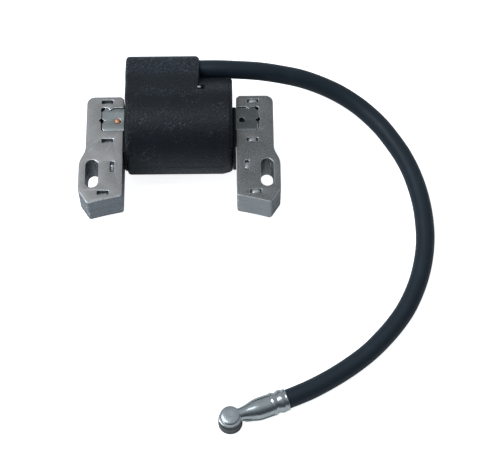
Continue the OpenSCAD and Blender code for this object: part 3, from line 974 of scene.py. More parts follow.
@dataclass(frozen=True)
class Studio:
    """Camera, lights, floor and surroundings.

    Args:
        camera_mm: the camera's place.
        right: its right-hand direction.
        up: its upward direction.
        roll: how far it is turned about its own line of sight, in degrees.
        lens: focal length in millimetres.
        sensor: width of the camera's sensor in millimetres.
        soft_lights: one long light high on the left, and one small light low at the front left.
        aim: the point in metres that the lights face.
        light_colour: colour of the lights.
        floor_half: half the floor's width.
        floor_glow: the floor's own glow, seen by the camera only.
        bright_side: the direction that the room's light comes from most.
        room_dim: strength of the room's light at its darkest.
        room_bright: strength at its brightest.
    """

    camera_mm: tuple[float, float, float] = (23.41, -329.19, 583.56)
    right: tuple[float, float, float] = (0.99988, -0.01553, 0.0)
    up: tuple[float, float, float] = (0.01387, 0.8928, 0.4503)
    roll: float = 0.21
    lens: float = 115.2
    sensor: float = 36.0
    soft_lights: tuple[SoftLight, ...] = (
        SoftLight("high_left", (-0.5, -0.02, 1.1), 0.35, 0.6, 7.0),
        SoftLight("front_left", (-0.8, -0.6, 0.45), 0.45, 0.45, 2.2),
    )
    aim: tuple[float, float, float] = (0.02, -0.04, 0.0)
    light_colour: Colour = (0.85, 0.93, 1.0)
    floor_half: float = 3000.0
    floor_glow: float = 0.85
    bright_side: tuple[float, float, float] = (-0.12, 0.45, 0.8)
    room_dim: float = 0.12
    room_bright: float = 0.6

    def build(self) -> None:
        """Sets up the whole studio."""
        self.camera()
        for light in self.soft_lights:
            light.build(Vector(self.aim), self.light_colour)
        self.floor()
        self.surroundings()
        bpy.context.scene.view_settings.view_transform = "Standard"

    def camera(self) -> None:
        """Places the camera: the columns of its matrix are its right, up and backward directions."""
        data = bpy.data.cameras.new("camera")
        data.lens, data.sensor_width, data.clip_start = self.lens, self.sensor, 0.01
        made = bpy.data.objects.new("camera", data)
        bpy.context.scene.collection.objects.link(made)
        right, up = unit(np.array(self.right)), unit(np.array(self.up))
        matrix = np.eye(4)
        matrix[:3, :3] = np.stack([right, up, np.cross(right, up)], 1)
        matrix[:3, 3] = np.array(self.camera_mm) * MM
        made.matrix_world = Matrix(matrix.tolist()) @ Matrix.Rotation(math.radians(self.roll), 4, "Z")
        bpy.context.scene.camera = made

    def floor(self) -> None:
        """Lays a plain pale floor under the part, with a glow of its own that lights nothing else."""
        corners = np.array([[-1, -1, 0], [1, -1, 0], [1, 1, 0], [-1, 1, 0]]) * self.floor_half * MM
        mesh = bpy.data.meshes.new("floor")
        mesh.from_pydata(corners.tolist(), [], [(0, 1, 2, 3)])
        material, graph, shader = new_material("floor")
        shader.inputs["Base Color"].default_value = (0.94, 0.94, 0.94, 1)
        shader.inputs["Roughness"].default_value = 0.9
        shader.inputs["Specular IOR Level"].default_value = 0.0
        shader.inputs["Emission Color"].default_value = (1, 1, 1, 1)
        seen = graph.node("ShaderNodeLightPath").outputs["Is Camera Ray"]
        graph.feed(shader.inputs["Emission Strength"], graph.calc("MULTIPLY", seen, self.floor_glow))
        mesh.materials.append(material)
        made = bpy.data.objects.new("floor", mesh)
        bpy.context.scene.collection.objects.link(made)

    def surroundings(self) -> None:
        """Fills the room with soft light: brightest above and behind, and dim low down at the front."""
        world = bpy.data.worlds.new("room")
        bpy.context.scene.world = world
        world.use_nodes = True
        graph = Graph(world.node_tree)
        background = world.node_tree.nodes["Background"]
        direction = graph.node("ShaderNodeTexCoord").outputs["Generated"]
        rise = graph.node(
            "ShaderNodeVectorMath", {0: direction, 1: self.bright_side}, operation="DOT_PRODUCT"
        ).outputs["Value"]
        strength = graph.spread(rise, 0.05, 0.8, self.room_dim, self.room_bright)
        graph.feed(background.inputs["Strength"], strength)
        colour = graph.blend(graph.spread(rise, 0.0, 0.9), (0.76, 0.89, 1.0), (0.84, 0.93, 1.0))
        graph.feed(background.inputs["Color"], colour)


# ---------------------------------------------------------------- the lead and its terminal


@dataclass
class SparkLead:
    """The high-tension lead: a rubber jacket from the tower to the terminal.

    Args:
        radius: the jacket's radius.
        exit_x: where it leaves the tower; not used.
        sides: points round it.
        spacing: distance between rings.
        rim: how much narrower its cut ends are.
        route: points that it passes through, in order.
    """

    radius: float = 3.8
    exit_x: float = 7.8
    sides: int = 48
    spacing: float = 1.0
    rim: float = 0.3
    route: tuple[tuple[float, float, float], ...] = (
        (-9, 28.95, 23.1), (0, 28.95, 23.1), (8, 28.95, 23.1), (15, 29, 23),
        (22, 29.2, 22.2), (33, 29.8, 19.8), (44, 30.1, 16), (51.5, 29.7, 13.3), (59, 28.2, 10.6),
        (66, 25.8, 8.2), (72.5, 22.2, 6.3), (78, 17.8, 5), (83.5, 11.8, 4.2), (88, 5, 3.85),
        (91.8, -2, 3.85), (94.8, -9.5, 3.85), (97, -17.5, 3.85), (98.4, -25.5, 3.85),
        (99, -34, 3.85), (98.8, -42, 3.85), (97.6, -50, 3.85), (95.5, -58, 3.85),
        (92.6, -65.4, 3.85), (89, -72.3, 3.85), (84.5, -78.7, 3.85), (79.5, -84.5, 3.85),
        (74.2, -89.8, 3.85), (68.5, -94.4, 3.85), (62.5, -98.6, 4), (56.4, -102.4, 4.3),
        (49.5, -106.1, 4.6), (41.4, -109.6, 4.9), (36.7, -111.25, 4.9),
    )

    def centreline(self) -> Array:
        """Carries a smooth curve through the route and spaces points evenly along it.

        Between two route points the curve is a cubic whose ends have the directions of the chords
        across their neighbours (Catmull-Rom). Its points are then spaced by their running length.

        Returns:
            The centreline's points.
        """
        p = np.array(self.route, float)
        ends = np.concatenate([2 * p[:1] - p[1:2], p, 2 * p[-1:] - p[-2:-1]])
        a, b, c, d = ends[:-3, None], ends[1:-2, None], ends[2:-1, None], ends[3:, None]
        t = np.linspace(0, 1, 24, endpoint=False)[None, :, None]
        square, cube = (2 * a - 5 * b + 4 * c - d) * t**2, (3 * b - a - 3 * c + d) * t**3
        cubic = 0.5 * (2 * b + (c - a) * t + square + cube)
        fine = np.concatenate([cubic.reshape(-1, 3), p[-1:]])
        run = np.concatenate([[0], np.cumsum(np.linalg.norm(np.diff(fine, axis=0), axis=1))])
        even = np.linspace(0, run[-1], int(run[-1] / self.spacing) + 1)
        return np.stack([np.interp(even, run, fine[:, i]) for i in range(3)], 1)

    def build(self, finishes: Finishes) -> bpy.types.Object:
        """Sweeps a ring along the centreline.

        Each ring lies square to the line: its first direction is level and its second is square to
        both. The radius wanders by a few hundredths of a millimetre, the sum of two sines of the
        length. The ends are closed to a pole.

        Args:
            finishes: the coil's materials.

        Returns:
            The jacket.
        """
        line = self.centreline()
        ahead = unit(np.gradient(line, axis=0))
        level = unit(np.cross(ahead, [0, 0, 1.0]))
        upright = np.cross(level, ahead)
        turn = np.arange(self.sides) * (2 * math.pi / self.sides)
        run = np.arange(len(line), dtype=float)
        radius = self.radius + 0.02 * np.sin(run / 7.3) + 0.012 * np.sin(run / 2.9)
        first, second = np.cos(turn)[None, :, None], np.sin(turn)[None, :, None]
        around = first * level[:, None] + second * upright[:, None]
        grid = line[:, None] + around * radius[:, None, None]
        pole = np.broadcast_to(line[[0, -1], None], (2, self.sides, 3))
        rim = line[[0, -1], None] + around[[0, -1]] * (self.radius - self.rim)
        surface = grid_surface(np.concatenate([pole[:1], rim[:1], grid, rim[1:], pole[1:]]))
        lengths = np.concatenate([[0, 0], run, run[-1:], run[-1:]])
        surface.marks = {
            "along": np.repeat(lengths, self.sides),
            "around": np.tile(np.cos(turn) + np.sin(2 * turn), len(lengths)),
        }
        return make_piece(
            "lead_jacket", surface, finishes["rubber"], ("spark_lead",), weld=True, crease=50
        )

    def declare(self, jacket: bpy.types.Object, pieces: list[bpy.types.Object | str]) -> None:
        """Args:
            jacket: the lead's jacket; not used.
            pieces: what goes with its free end; not used.
        """


@dataclass
class PlugTerminal:
    """The pressed-steel elbow terminal, its insulating ring and its spring clip.

    Its own frame has the cup's axis as Z, and the lead comes in along +X.

    Args:
        place: X and Y of the cup's axis.
        turn: the turn of its frame about Z, in degrees.
        cup_r: outer radius of the cup.
        cup_top: height of the cup's top.
        neck: half the channel's width at its neck.
        widening: how much wider than that it is at the ferrule.
        skirt_z: height of the folded skirt under the cup.
        skirt_fall: how much lower the skirt lies along the channel.
        crown_z: height of the channel's crown at its neck.
        sheet: thickness of the steel.
        sheet_end: how far the sheet runs into the ferrule.
        lead_z: height of the lead's line.
        ferrule: start and end of the ferrule along X.
        ferrule_r: outer and inner radius of the ferrule.
        beads: place, width and height of each rolled bead, and of the grooves with heights below 0.
        ring: outer radius, bore radius and height of the ring.
        groove: height, half width and depth of the ring's clip groove.
    """

    place: tuple[float, float] = (19.4, -117.3)
    turn: float = 19.4
    cup_r: float = 4.1
    cup_top: float = 9.0
    neck: float = 2.45
    widening: float = 1.85
    skirt_z: float = 6.45
    skirt_fall: float = 1.5
    crown_z: float = 8.65
    sheet: float = 0.45
    sheet_end: float = 16.6
    lead_z: float = 4.9
    ferrule: tuple[float, float] = (15.35, 22.9)
    ferrule_r: tuple[float, float] = (4.2, 3.83)
    beads: tuple[tuple[float, float, float], ...] = (
        (17.4, 0.75, 0.34), (20.85, 1.05, 0.36), (19.1, 0.45, -0.15), (16.1, 0.35, -0.12),
    )
    ring: tuple[float, float, float] = (4.7, 3.2, 6.3)
    groove: tuple[float, float, float] = (2.2, 0.45, 0.9)

    @property
    def matrix(self) -> Array:
        """The matrix from the terminal's frame to the part's."""
        return frame_at(*self.place, 0.0, self.turn)

    def half_width(self, x: Array) -> Array:
        """Half the width of the elbow: narrow at the neck and widening to the ferrule.

        Args:
            x: places along the terminal.

        Returns:
            Half the width at each place, the cup's circle or the channel, whichever is wider.
        """
        body = self.neck + self.widening * smooth_step((x - 4.0) / 8.0) ** 0.85
        cup = np.sqrt(np.clip(self.cup_r**2 - x**2, 0, None))
        return np.where(x < 0, cup, soft_max(cup, body, 0.5))

    def hem(self, x: Array) -> Array:
        """Height of the folded skirt at x: high under the cup and lower along the channel."""
        return self.skirt_z - self.skirt_fall * smooth_step((x - 2.0) / 7.0)

    def height(self, x: Array, y: Array) -> Array:
        """Height of the sheet over a point of the plan.

        The cup is a steep-sided dome, (1 - (r / cup radius)^5)^(1/5) high. The channel is an arch,
        sqrt(1 - (y / half width)^2) high, whose crown rises gently to the ferrule. The higher of the
        two is kept, rounded over where they meet.

        Args:
            x: places along the terminal.
            y: places across it.

        Returns:
            The heights.
        """
        foot = self.hem(x) + 0.12
        r = np.clip(np.hypot(x, y) / self.cup_r, 0, 1)
        cup = foot + (self.cup_top - foot) * (1 - r**5) ** 0.2
        crown = self.crown_z - foot + 0.6 * smooth_step((x - 5) / 7.0)
        share = np.clip(np.abs(y) / self.half_width(x), 0, 1)
        arch = foot + crown * np.sqrt(1 - share**2)
        return np.where(x < 1.0, cup, soft_max(cup, arch, 0.12))

    def skirt(self, edge: Array) -> Array:
        """Lays the folded skirt along the plan's edge.

        From the outside in, its points lie at falling shares of its reach and at rising heights. It
        reaches farthest beside the neck, and hardly at all on the far side.

        Args:
            edge: the plan's edge, from the ferrule along the near side, round the cup and back.

        Returns:
            Rows of points, the outermost first.
        """
        ahead = unit(np.gradient(edge, axis=0))
        out = np.stack([-ahead[:, 1], ahead[:, 0]], 1)
        x, y = edge[:, 0], edge[:, 1]
        reach = 0.2 + 0.22 * smooth_step((x - 3) / 3) + 0.36 * bell(x, 5.7, 1.5)
        reach = reach * (1 - 0.75 * smooth_step(y / 1.5))
        spots = np.array([1.0, 0.9, 0.6, 0.3, 0.08, 0.0])[:, None]
        drops = np.array([-0.3, -0.26, -0.16, -0.05, 0.0, 0.12])[:, None]
        plan = edge[None] + out[None] * (reach[None] * spots)[..., None]
        level = self.hem(x)[None] + drops * np.where(drops < 0, reach[None], 1.0)
        return np.concatenate([plan, level[..., None]], -1)

    def dome(self, edge: Array) -> Array:
        """Covers the plan with rows of points from its edge to its middle line.

        A row's share of the way is the cosine of an even turn to a power, so that the rows lie closer
        together at the steep sides, and closest at the cup's.

        Args:
            edge: the plan's edge.

        Returns:
            Rows of points, the outermost first.
        """
        middle = np.stack([np.clip(edge[:, 0], 0, None), np.zeros(len(edge))], 1)
        power = 2 / (2.0 + 3.0 * smooth_step((5.5 - edge[:, 0]) / 3.0))
        share = np.cos(np.linspace(0, math.pi / 2, 30)[1:])[:, None] ** power[None]
        plan = middle[None] + (edge - middle)[None] * share[..., None]
        return np.concatenate([plan, self.height(plan[..., 0], plan[..., 1])[..., None]], -1)

    def elbow(self, finishes: Finishes) -> bpy.types.Object:
        """Builds the cup and channel as one sheet, and gives it its thickness.

        Args:
            finishes: the coil's materials.

        Returns:
            The elbow.
        """
        x = np.concatenate([np.linspace(self.sheet_end, 6, 46), np.linspace(6, 0, 44)[1:]])
        turn = np.radians(np.linspace(-90, -180, 34)[1:])
        round_end = self.cup_r * np.stack([np.cos(turn), np.sin(turn)], 1)
        near = np.concatenate([np.stack([x, -self.half_width(x)], 1), round_end])
        edge = np.concatenate([near, (near * [1, -1])[-2::-1]])
        grid = np.concatenate([self.skirt(edge), self.dome(edge)])
        sheet = grid_surface(grid, wrap_columns=False).moved(self.matrix)
        made = make_piece(
            "terminal_elbow", sheet, finishes["zinc"], ("terminal_shell",),
            weld=True, crease=70, closed=False,
        )
        wall = made.modifiers.new("sheet", "SOLIDIFY")
        wall.thickness, wall.offset, wall.use_even_offset = self.sheet * MM, -1.0, False
        return made

    def ferrule_piece(self, finishes: Finishes) -> bpy.types.Object:
        """Turns the ferrule about the lead: rolled beads, a soft crimp and a flared mouth.

        The radius is the wall's plus a bell curve for each bead. The crimp takes a little off it, by
        sines of the turn, most of all in two narrow bands.

        Args:
            finishes: the coil's materials.

        Returns:
            The ferrule.
        """
        start, end = self.ferrule
        outside, inside = self.ferrule_r
        lip = 0.22
        x = np.linspace(start, end, 84)
        radius = outside + sum(high * bell(x, middle, width) for middle, width, high in self.beads)
        radius += 0.12 * smooth_step((x - end + 0.7) / 0.6)
        profile = np.concatenate([
            np.stack([radius, x], 1),
            arc((radius[-1] - lip, end), lip, 0, 180, 7)[1:],
            np.stack([np.full(8, inside), np.linspace(end, start, 8)], 1),
        ])
        grid = lathe(profile, 112)
        turn, along = np.arctan2(grid[..., 1], grid[..., 0]), grid[..., 2]
        bands = bell(along, 19.1, 0.6) + bell(along, 22.1, 0.4)
        dent = 0.06 * np.sin(5 * turn + 1.1 * along) + 0.04 * np.sin(9 * turn - 2.3 * along)
        outer = np.hypot(grid[..., 0], grid[..., 1]) > inside + 0.12
        shrink = 1 - outer * (0.008 * bands * (1 + np.sin(3 * turn)) + 0.07 * dent)
        grid = grid * np.stack([shrink, shrink, np.ones_like(shrink)], -1)
        surface = grid_surface(along_x(grid), wrap_rows=True).moved(frame_at(0, 0, self.lead_z))
        return make_piece(
            "terminal_ferrule", surface.moved(self.matrix), finishes["zinc"],
            ("terminal_shell",), crease=60,
        )

    def ring_piece(self, finishes: Finishes) -> bpy.types.Object:
        """Turns the ring: rounded rims, a shallow waist, a top that narrows into the cup and a groove.

        Args:
            finishes: the coil's materials.

        Returns:
            The ring.
        """
        outer, bore, top = self.ring
        middle, half, deep = self.groove
        z = np.linspace(0.5, top - 0.4, 14)
        waist = 0.14 * np.sin(math.pi * (z - 0.5) / (top - 0.9))
        side = np.stack([outer - waist - 0.55 * smooth_step((z - 4.4) / 1.6), z], 1)
        inner = np.array([
            [bore, top], [bore, middle + half], [bore + deep, middle + half],
            [bore + deep, middle - half], [bore, middle - half], [bore, 0.3], [bore + 0.3, 0.0],
        ])
        foot = arc((outer - 0.5, 0.5), 0.5, -90, 0, 7)
        shoulder = arc((outer - 0.95, top - 0.4), 0.4, 0, 90, 6)
        grid = lathe(np.concatenate([foot, side[1:-1], shoulder, inner]), 96)
        surface = grid_surface(grid, wrap_rows=True).moved(self.matrix)
        return make_piece(
            "terminal_ring_piece", surface, finishes["ring"], ("terminal_ring",), crease=40
        )

    def build(self, finishes: Finishes) -> list[bpy.types.Object | str]:
        """Builds the terminal and returns the pieces that go with the lead."""
        made = [self.elbow(finishes), self.ferrule_piece(finishes), self.ring_piece(finishes)]
        return [*made, "terminal_clip", "terminal_contact", "lead_conductor"]


# ---------------------------------------------------------------- the laminated core


@dataclass
class CoreSizes:
    """The sizes that the legs and the bar share, measured from the middle of the bar.

    Args:
        pitch: height of one plate with its gap.
        count: how many plates a stack has.
        gap: gap between two plates.
        bar_half: half the width of the bar.
        bar_end: half its length.
        tooth_x: where its jigsaw tooth is along X.
        pin_x: where its pin holes are along X.
        pin_y: their Y, and that of the keyholes in its ends.
        pin_hole: radius of the pin holes.
        lances: X, Y and turn in degrees of each leg's interlocks.
        lance_l: length of an interlock.
        lance_w: width of an interlock.
    """

    pitch: float = 0.65
    count: int = 22
    gap: float = 0.01
    bar_half: float = 5.2
    bar_end: float = 31.5
    tooth_x: float = 28.1
    pin_x: float = 25.1
    pin_y: float = -0.6
    pin_hole: float = 1.25
    lances: tuple[tuple[float, float, float], ...] = (
        (29.6, 8.4, 0.0), (29.2, -9.7, 0.0), (27.0, -21.6, 90.0), (30.4, -33.4, 0.0),
    )
    lance_l: float = 4.6
    lance_w: float = 1.7

    @property
    def low(self) -> float:
        """Height of the stack's underside."""
        return CORE_Z - self.pitch * self.count / 2

    @property
    def high(self) -> float:
        """Height of the stack's top."""
        return self.low + self.pitch * self.count

    def plate(self, number: int, roll_low: float, roll_high: float, steps: int) -> Slab:
        """The slab of one plate, counted from below."""
        low = self.low + number * self.pitch + self.gap / 2
        return Slab(low, low + self.pitch - self.gap, roll_low, roll_high, steps)


def slot_loop(middle: tuple[float, float], width: float, length: float) -> Array:
    """A round-ended slot along Y, clockwise."""
    half = (length - width) / 2
    upper = arc((middle[0], middle[1] + half), width / 2, 180, 0, 25)
    lower = arc((middle[0], middle[1] - half), width / 2, 0, -180, 25)
    return np.concatenate([upper, lower])


def turned_box(
    middle: tuple[float, float], length: float, width: float, degrees: float, radius: float
) -> Array:
    """A rectangle with round corners, turned about its middle, clockwise.

    Args:
        middle: its middle.
        length: its length before the turn, along X.
        width: its width.
        degrees: the turn.
        radius: radius of its corners.

    Returns:
        The outline.
    """
    half = np.array([[-length, -width], [-length, width], [length, width], [length, -width]]) / 2
    c, s = math.cos(math.radians(degrees)), math.sin(math.radians(degrees))
    return filleted(half, np.full(4, radius), 5) @ np.array([[c, s], [-s, c]]) + middle


@dataclass
class Leg:
    """One leg: a stack of stamped plates with a mounting slot, a pole face and pressed-in interlocks.

    Args:
        side: which leg it is.
        core: the shared sizes.
        inner: distance from the middle to its inner edge.
        outer: distance to its outer edge.
        ear: distance to the edge of its mounting ear.
        top: how far it reaches behind the bar.
        pole_r: radius of the pole face.
        pole_y: Y of the pole face at its inner edge.
        slot_at: middle of the mounting slot.
        slot_w: the slot's width.
        slot_l: the slot's length.
        open_plates: how many plates below the top one the interlocks pass through.
        roll: radius of the top plate's edge.
        painted_shade_from: beyond this X the cut walls get painted shade, as dark as the sheet.
        shade: how much darker the painted shade makes them there, from 0 to 1.
        wander: how far the inner plates stray from each other.
    """

    side: Side
    core: CoreSizes = field(default_factory=CoreSizes)
    inner: float = 22.8
    outer: float = 37.9
    ear: float = 40.4
    top: float = 10.9
    pole_r: float = 126.0
    pole_y: float = -35.0
    slot_at: tuple[float, float] = (35.0, -24.7)
    slot_w: float = 5.1
    slot_l: float = 12.4
    open_plates: int = 2
    roll: float = 0.3
    painted_shade_from: float = 36.6
    shade: float = 0.5
    wander: float = 0.012

    @property
    def name(self) -> str:
        """The side's name, as the pieces have it."""
        return self.side.name.lower()

    def pole(self) -> Array:
        """The pole face, whose points lie on a circle about the flywheel's middle."""
        centre_y = self.pole_y - math.sqrt(self.pole_r**2 - self.inner**2)
        x = np.concatenate([[self.inner], np.linspace(self.inner + 1.6, 34.8, 13), [36.4]])
        return np.stack([x, centre_y + np.sqrt(self.pole_r**2 - x**2)], 1)

    def pocket(self) -> Array:
        """The pocket that holds the bar's end, from its upper mouth round to its lower.

        It has a notch for the bar's tooth, a round relief behind the bar's corner and a keyhole, each
        a little larger than the bar.

        Returns:
            Its corners.
        """
        core = self.core
        wall, top, low = core.bar_end + 0.4, core.bar_half + 0.35, -core.bar_half - 0.02
        key_x, key_y, key = core.bar_end + 0.1, core.pin_y + 0.35, 1.2
        notch = [(self.inner, top), (core.tooth_x - 1.3, top), (core.tooth_x, top - 1.0), (core.tooth_x + 1.3, top)]
        relief = arc((core.bar_end - 0.6, core.bar_half - 0.6), 1.2, 135, -45, 15)
        keyhole = [(wall, key_y + key - 0.15), (key_x + key, key_y), (wall, key_y - key + 0.15)]
        corner = [(wall, low + 0.82), (wall - 0.8, low), (self.inner, low)]
        return np.concatenate([notch, relief, keyhole, corner])

    def outline(self) -> Array:
        """The outline of the right leg's plates, anticlockwise.

        It goes along the pole face, up the outer side past the ear, across the top, down the inner
        side and round the pocket.

        Returns:
            The rounded outline.
        """
        pole = self.pole()
        side = [
            (self.ear, -32.2), (self.ear, -19.3), (self.outer, -14.2), (self.outer, self.top),
            (self.inner + 1.2, self.top), (self.inner, self.top - 1.2),
        ]
        corners = without_doubles(np.concatenate([pole, side, self.pocket()]))
        radii = np.zeros(len(corners))
        first = len(pole)
        radii[[0, first - 1]] = 1.3
        radii[first:first + 6] = [3.4, 9.0, 7.0, 3.2, 0.5, 0.5]
        radii[first + 6:first + 10] = [0.3, 0.12, 0.12, 0.12]
        radii[-1] = 0.2
        return filleted(corners, radii)

    def place(self, surface: Surface) -> Surface:
        """Moves a surface from the bar's middle to the part's frame, on this leg's side.

        The right leg's outer wall gets painted shade: its cut mark is cleared, so it keeps the dark
        colour of the sheet, and its shade mark is set, which darkens it further.

        Args:
            surface: a surface with edge and cut marks.

        Returns:
            The moved surface.
        """
        moved = surface.points * [self.side.value, 1.0, 1.0] + [0, CORE_Y, 0]
        # past this X the walls get painted shade
        dark = np.where(moved[:, 0] > self.painted_shade_from, 1.0, 0.0)
        cut = surface.marks["cut"]
        marks = {**surface.marks, "cut": cut * (1 - dark), "shade": self.shade * cut * dark}
        return Surface(moved, surface.quads, surface.tris, marks)

    def plates(self, material: bpy.types.Material) -> None:
        """Builds the outer plates with rolled edges, those under the interlocks, and the inner stack.

        Args:
            material: the leg's steel.
        """
        core, outline, slot = self.core, self.outline(), slot_loop(self.slot_at, self.slot_w, self.slot_l)
        holes = [slot, *(turned_box((x, y), core.lance_l, core.lance_w, turn, 0.3) for x, y, turn in core.lances)]
        last = core.count - 1
        soft = self.roll if self.side is Side.LEFT else self.roll * 0.7
        inner_count = last - self.open_plates - 1
        lift = np.array([[0, 0, core.pitch * i] for i in range(self.open_plates)])
        stray = np.random.default_rng(7 + self.side.value).normal(0, self.wander, (inner_count, 2))
        shifts = np.column_stack([stray, core.pitch * np.arange(inner_count)])
        pierced = core.plate(last - self.open_plates, 0.04, 0.04, 3).surface(outline, holes)
        stacks = {
            "top_plate": core.plate(last, 0.05, soft, 6).surface(outline, holes),
            "bottom_plate": core.plate(0, 0.55, 0.05, 6).surface(outline, holes),
            "pierced_plates": pierced.repeated(lift),
            "plates": core.plate(1, 0.045, 0.045, 3).surface(outline, [slot]).repeated(shifts),
        }
        node = f"{self.name}_pole_laminations"
        for piece, surface in stacks.items():
            make_piece(f"{self.name}_leg_{piece}", self.place(surface), material, (node,))

    def interlocks(self, material: bpy.types.Material) -> None:
        """Builds the pressed tabs in the openings.

        A tab is a strip bent along its length. On the left leg it sinks from both ends to its middle,
        by 1 - |s|^4. On the right leg it comes up flush in its middle and falls away at both ends, by
        |s|^3.2. The place s runs from -1 to 1.

        Args:
            material: the tabs' steel.
        """
        core = self.core
        s = np.linspace(-1, 1, 33)
        if self.side is Side.LEFT:
            sink = -1.5 * (1 - np.abs(s) ** 4)
        else:
            sink = -0.03 - 1.25 * np.abs(s) ** 3.2
        half_l, half_w, thick = core.lance_l / 2 - 0.02, core.lance_w / 2 - 0.14, 0.5
        corners = np.array([[-half_w, -thick], [half_w, -thick], [half_w, 0], [-half_w, 0]])
        section = filleted(corners, np.full(4, 0.12), 4)
        across, up = section[None, :, 0], section[None, :, 1]
        rows = np.stack(np.broadcast_arrays(s[:, None] * half_l, across, sink[:, None] + up), -1)
        ends = np.broadcast_to(rows[[0, -1]].mean(1, keepdims=True), (2, len(section), 3))
        rows = np.concatenate([ends[:1], rows, ends[1:]])
        strip = grid_surface(rows)
        edge = np.clip(np.abs(section[:, 0]) / half_w, 0, 1) ** 6 * (section[:, 1] > -0.2)
        # the tab's lower part carries the cut mark, which the interlock steel paints near black as painted shade
        cut = (section[:, 1] < -0.1) * 1.0
        strip.marks = {"edge": np.tile(edge * 0.9, len(rows)), "cut": np.tile(cut, len(rows))}
        high = core.high - core.gap / 2
        parts = joined([strip.moved(frame_at(x, y, high, turn)) for x, y, turn in core.lances])
        make_piece(
            f"{self.name}_leg_interlocks", self.place(parts), material,
            (f"{self.name}_pole_laminations",), weld=True, crease=50,
        )

    def build(self, finishes: Finishes) -> None:
        """Builds the leg in its own steel."""
        self.plates(finishes[f"{self.name}_steel"])
        self.interlocks(finishes["tab_steel"])


@dataclass
class CoreBar:
    """The laminated bar through the coil, and the copper ground pin in its left hole.

    Args:
        core: the shared sizes.
        play: how much narrower it is drawn than its pocket's width.
        key: half the width of the keyholes in its ends.
        wander: how far the inner plates stray from each other.
        pin_r: radius of the ground pin.
        pin_shift: how far the pin's middle lies from the hole's, towards -X and +Y.
    """

    core: CoreSizes = field(default_factory=CoreSizes)
    play: float = 0.1
    key: float = 1.05
    wander: float = 0.008
    pin_r: float = 1.08
    pin_shift: float = 0.1

    def outline(self) -> Array:
        """The bar's outline, anticlockwise: jigsaw teeth on its upper side, keyholes in its ends."""
        c = self.core
        half, end, tooth, key = c.bar_half - self.play, c.bar_end, c.tooth_x, self.key
        right = np.array([
            (end - 0.8, -half), (end, -half + 0.8), (end, c.pin_y - key), (end - key, c.pin_y), (end, c.pin_y + key),
            (end, half - 1.3), (end - 1.3, half), (tooth + 1.3, half), (tooth, half - 1.0), (tooth - 1.3, half),
        ])
        corners = np.concatenate([right, (right * [-1, 1])[::-1]])
        radii = np.array([0.2, 0.2, 0.05, 0.08, 0.05, 0.5, 0.5, 0.12, 0.12, 0.12])
        return filleted(corners, np.concatenate([radii, radii[::-1]]))

    def build(self, finishes: Finishes) -> None:
        """Builds the top and bottom plates with rolled edges, the stack between them, and the pin.

        Args:
            finishes: the coil's materials.
        """
        c, outline = self.core, self.outline()
        holes = [arc((s * c.pin_x, c.pin_y), c.pin_hole, 180, -180, 41)[:-1] for s in (-1, 1)]
        last = c.count - 1
        stray = np.random.default_rng(3).normal(0, self.wander, (last - 1, 2))
        shifts = np.column_stack([stray, c.pitch * np.arange(last - 1)])
        stacks = {
            "bar_top_plate": c.plate(last, 0.05, 0.18, 5).surface(outline, holes),
            "bar_bottom_plate": c.plate(0, 0.18, 0.05, 5).surface(outline, holes),
            "bar_plates": c.plate(1, 0.045, 0.045, 3).surface(outline, holes).repeated(shifts),
        }
        for name, surface in stacks.items():
            surface = surface.moved(frame_at(0, CORE_Y, 0))
            make_piece(name, surface, finishes["bar_steel"], ("core_bar_laminations",))
        self.pin(finishes)

    def pin(self, finishes: Finishes) -> None:
        """Turns the copper pin, its head cut off at a slant and rounded at its rim.

        Args:
            finishes: the coil's materials.
        """
        c, radius = self.core, self.pin_r
        low, high = c.low - 0.6, c.high - 0.02
        rim = arc((radius - 0.3, high - 0.3), 0.3, 0, 90, 7)
        foot = arc((radius - 0.15, low + 0.15), 0.15, -90, 0, 4)
        rings = [[[0, low]], foot, rim, [[radius * 0.5, high + 0.05], [0, high + 0.07]]]
        grid = lathe(np.concatenate(rings), 48)
        head = grid[..., 2] > high - 1
        grid[..., 2] -= head * (grid[..., 0] * 0.16 - grid[..., 1] * 0.2 + 0.12)
        place = frame_at(-c.pin_x - self.pin_shift, CORE_Y + c.pin_y + self.pin_shift, 0)
        surface = grid_surface(grid).moved(place)
        make_piece(
            "ground_pin_piece", surface, finishes["copper"], ("ground_pin",), weld=True, crease=60
        )


# ---------------------------------------------------------------- the coil body


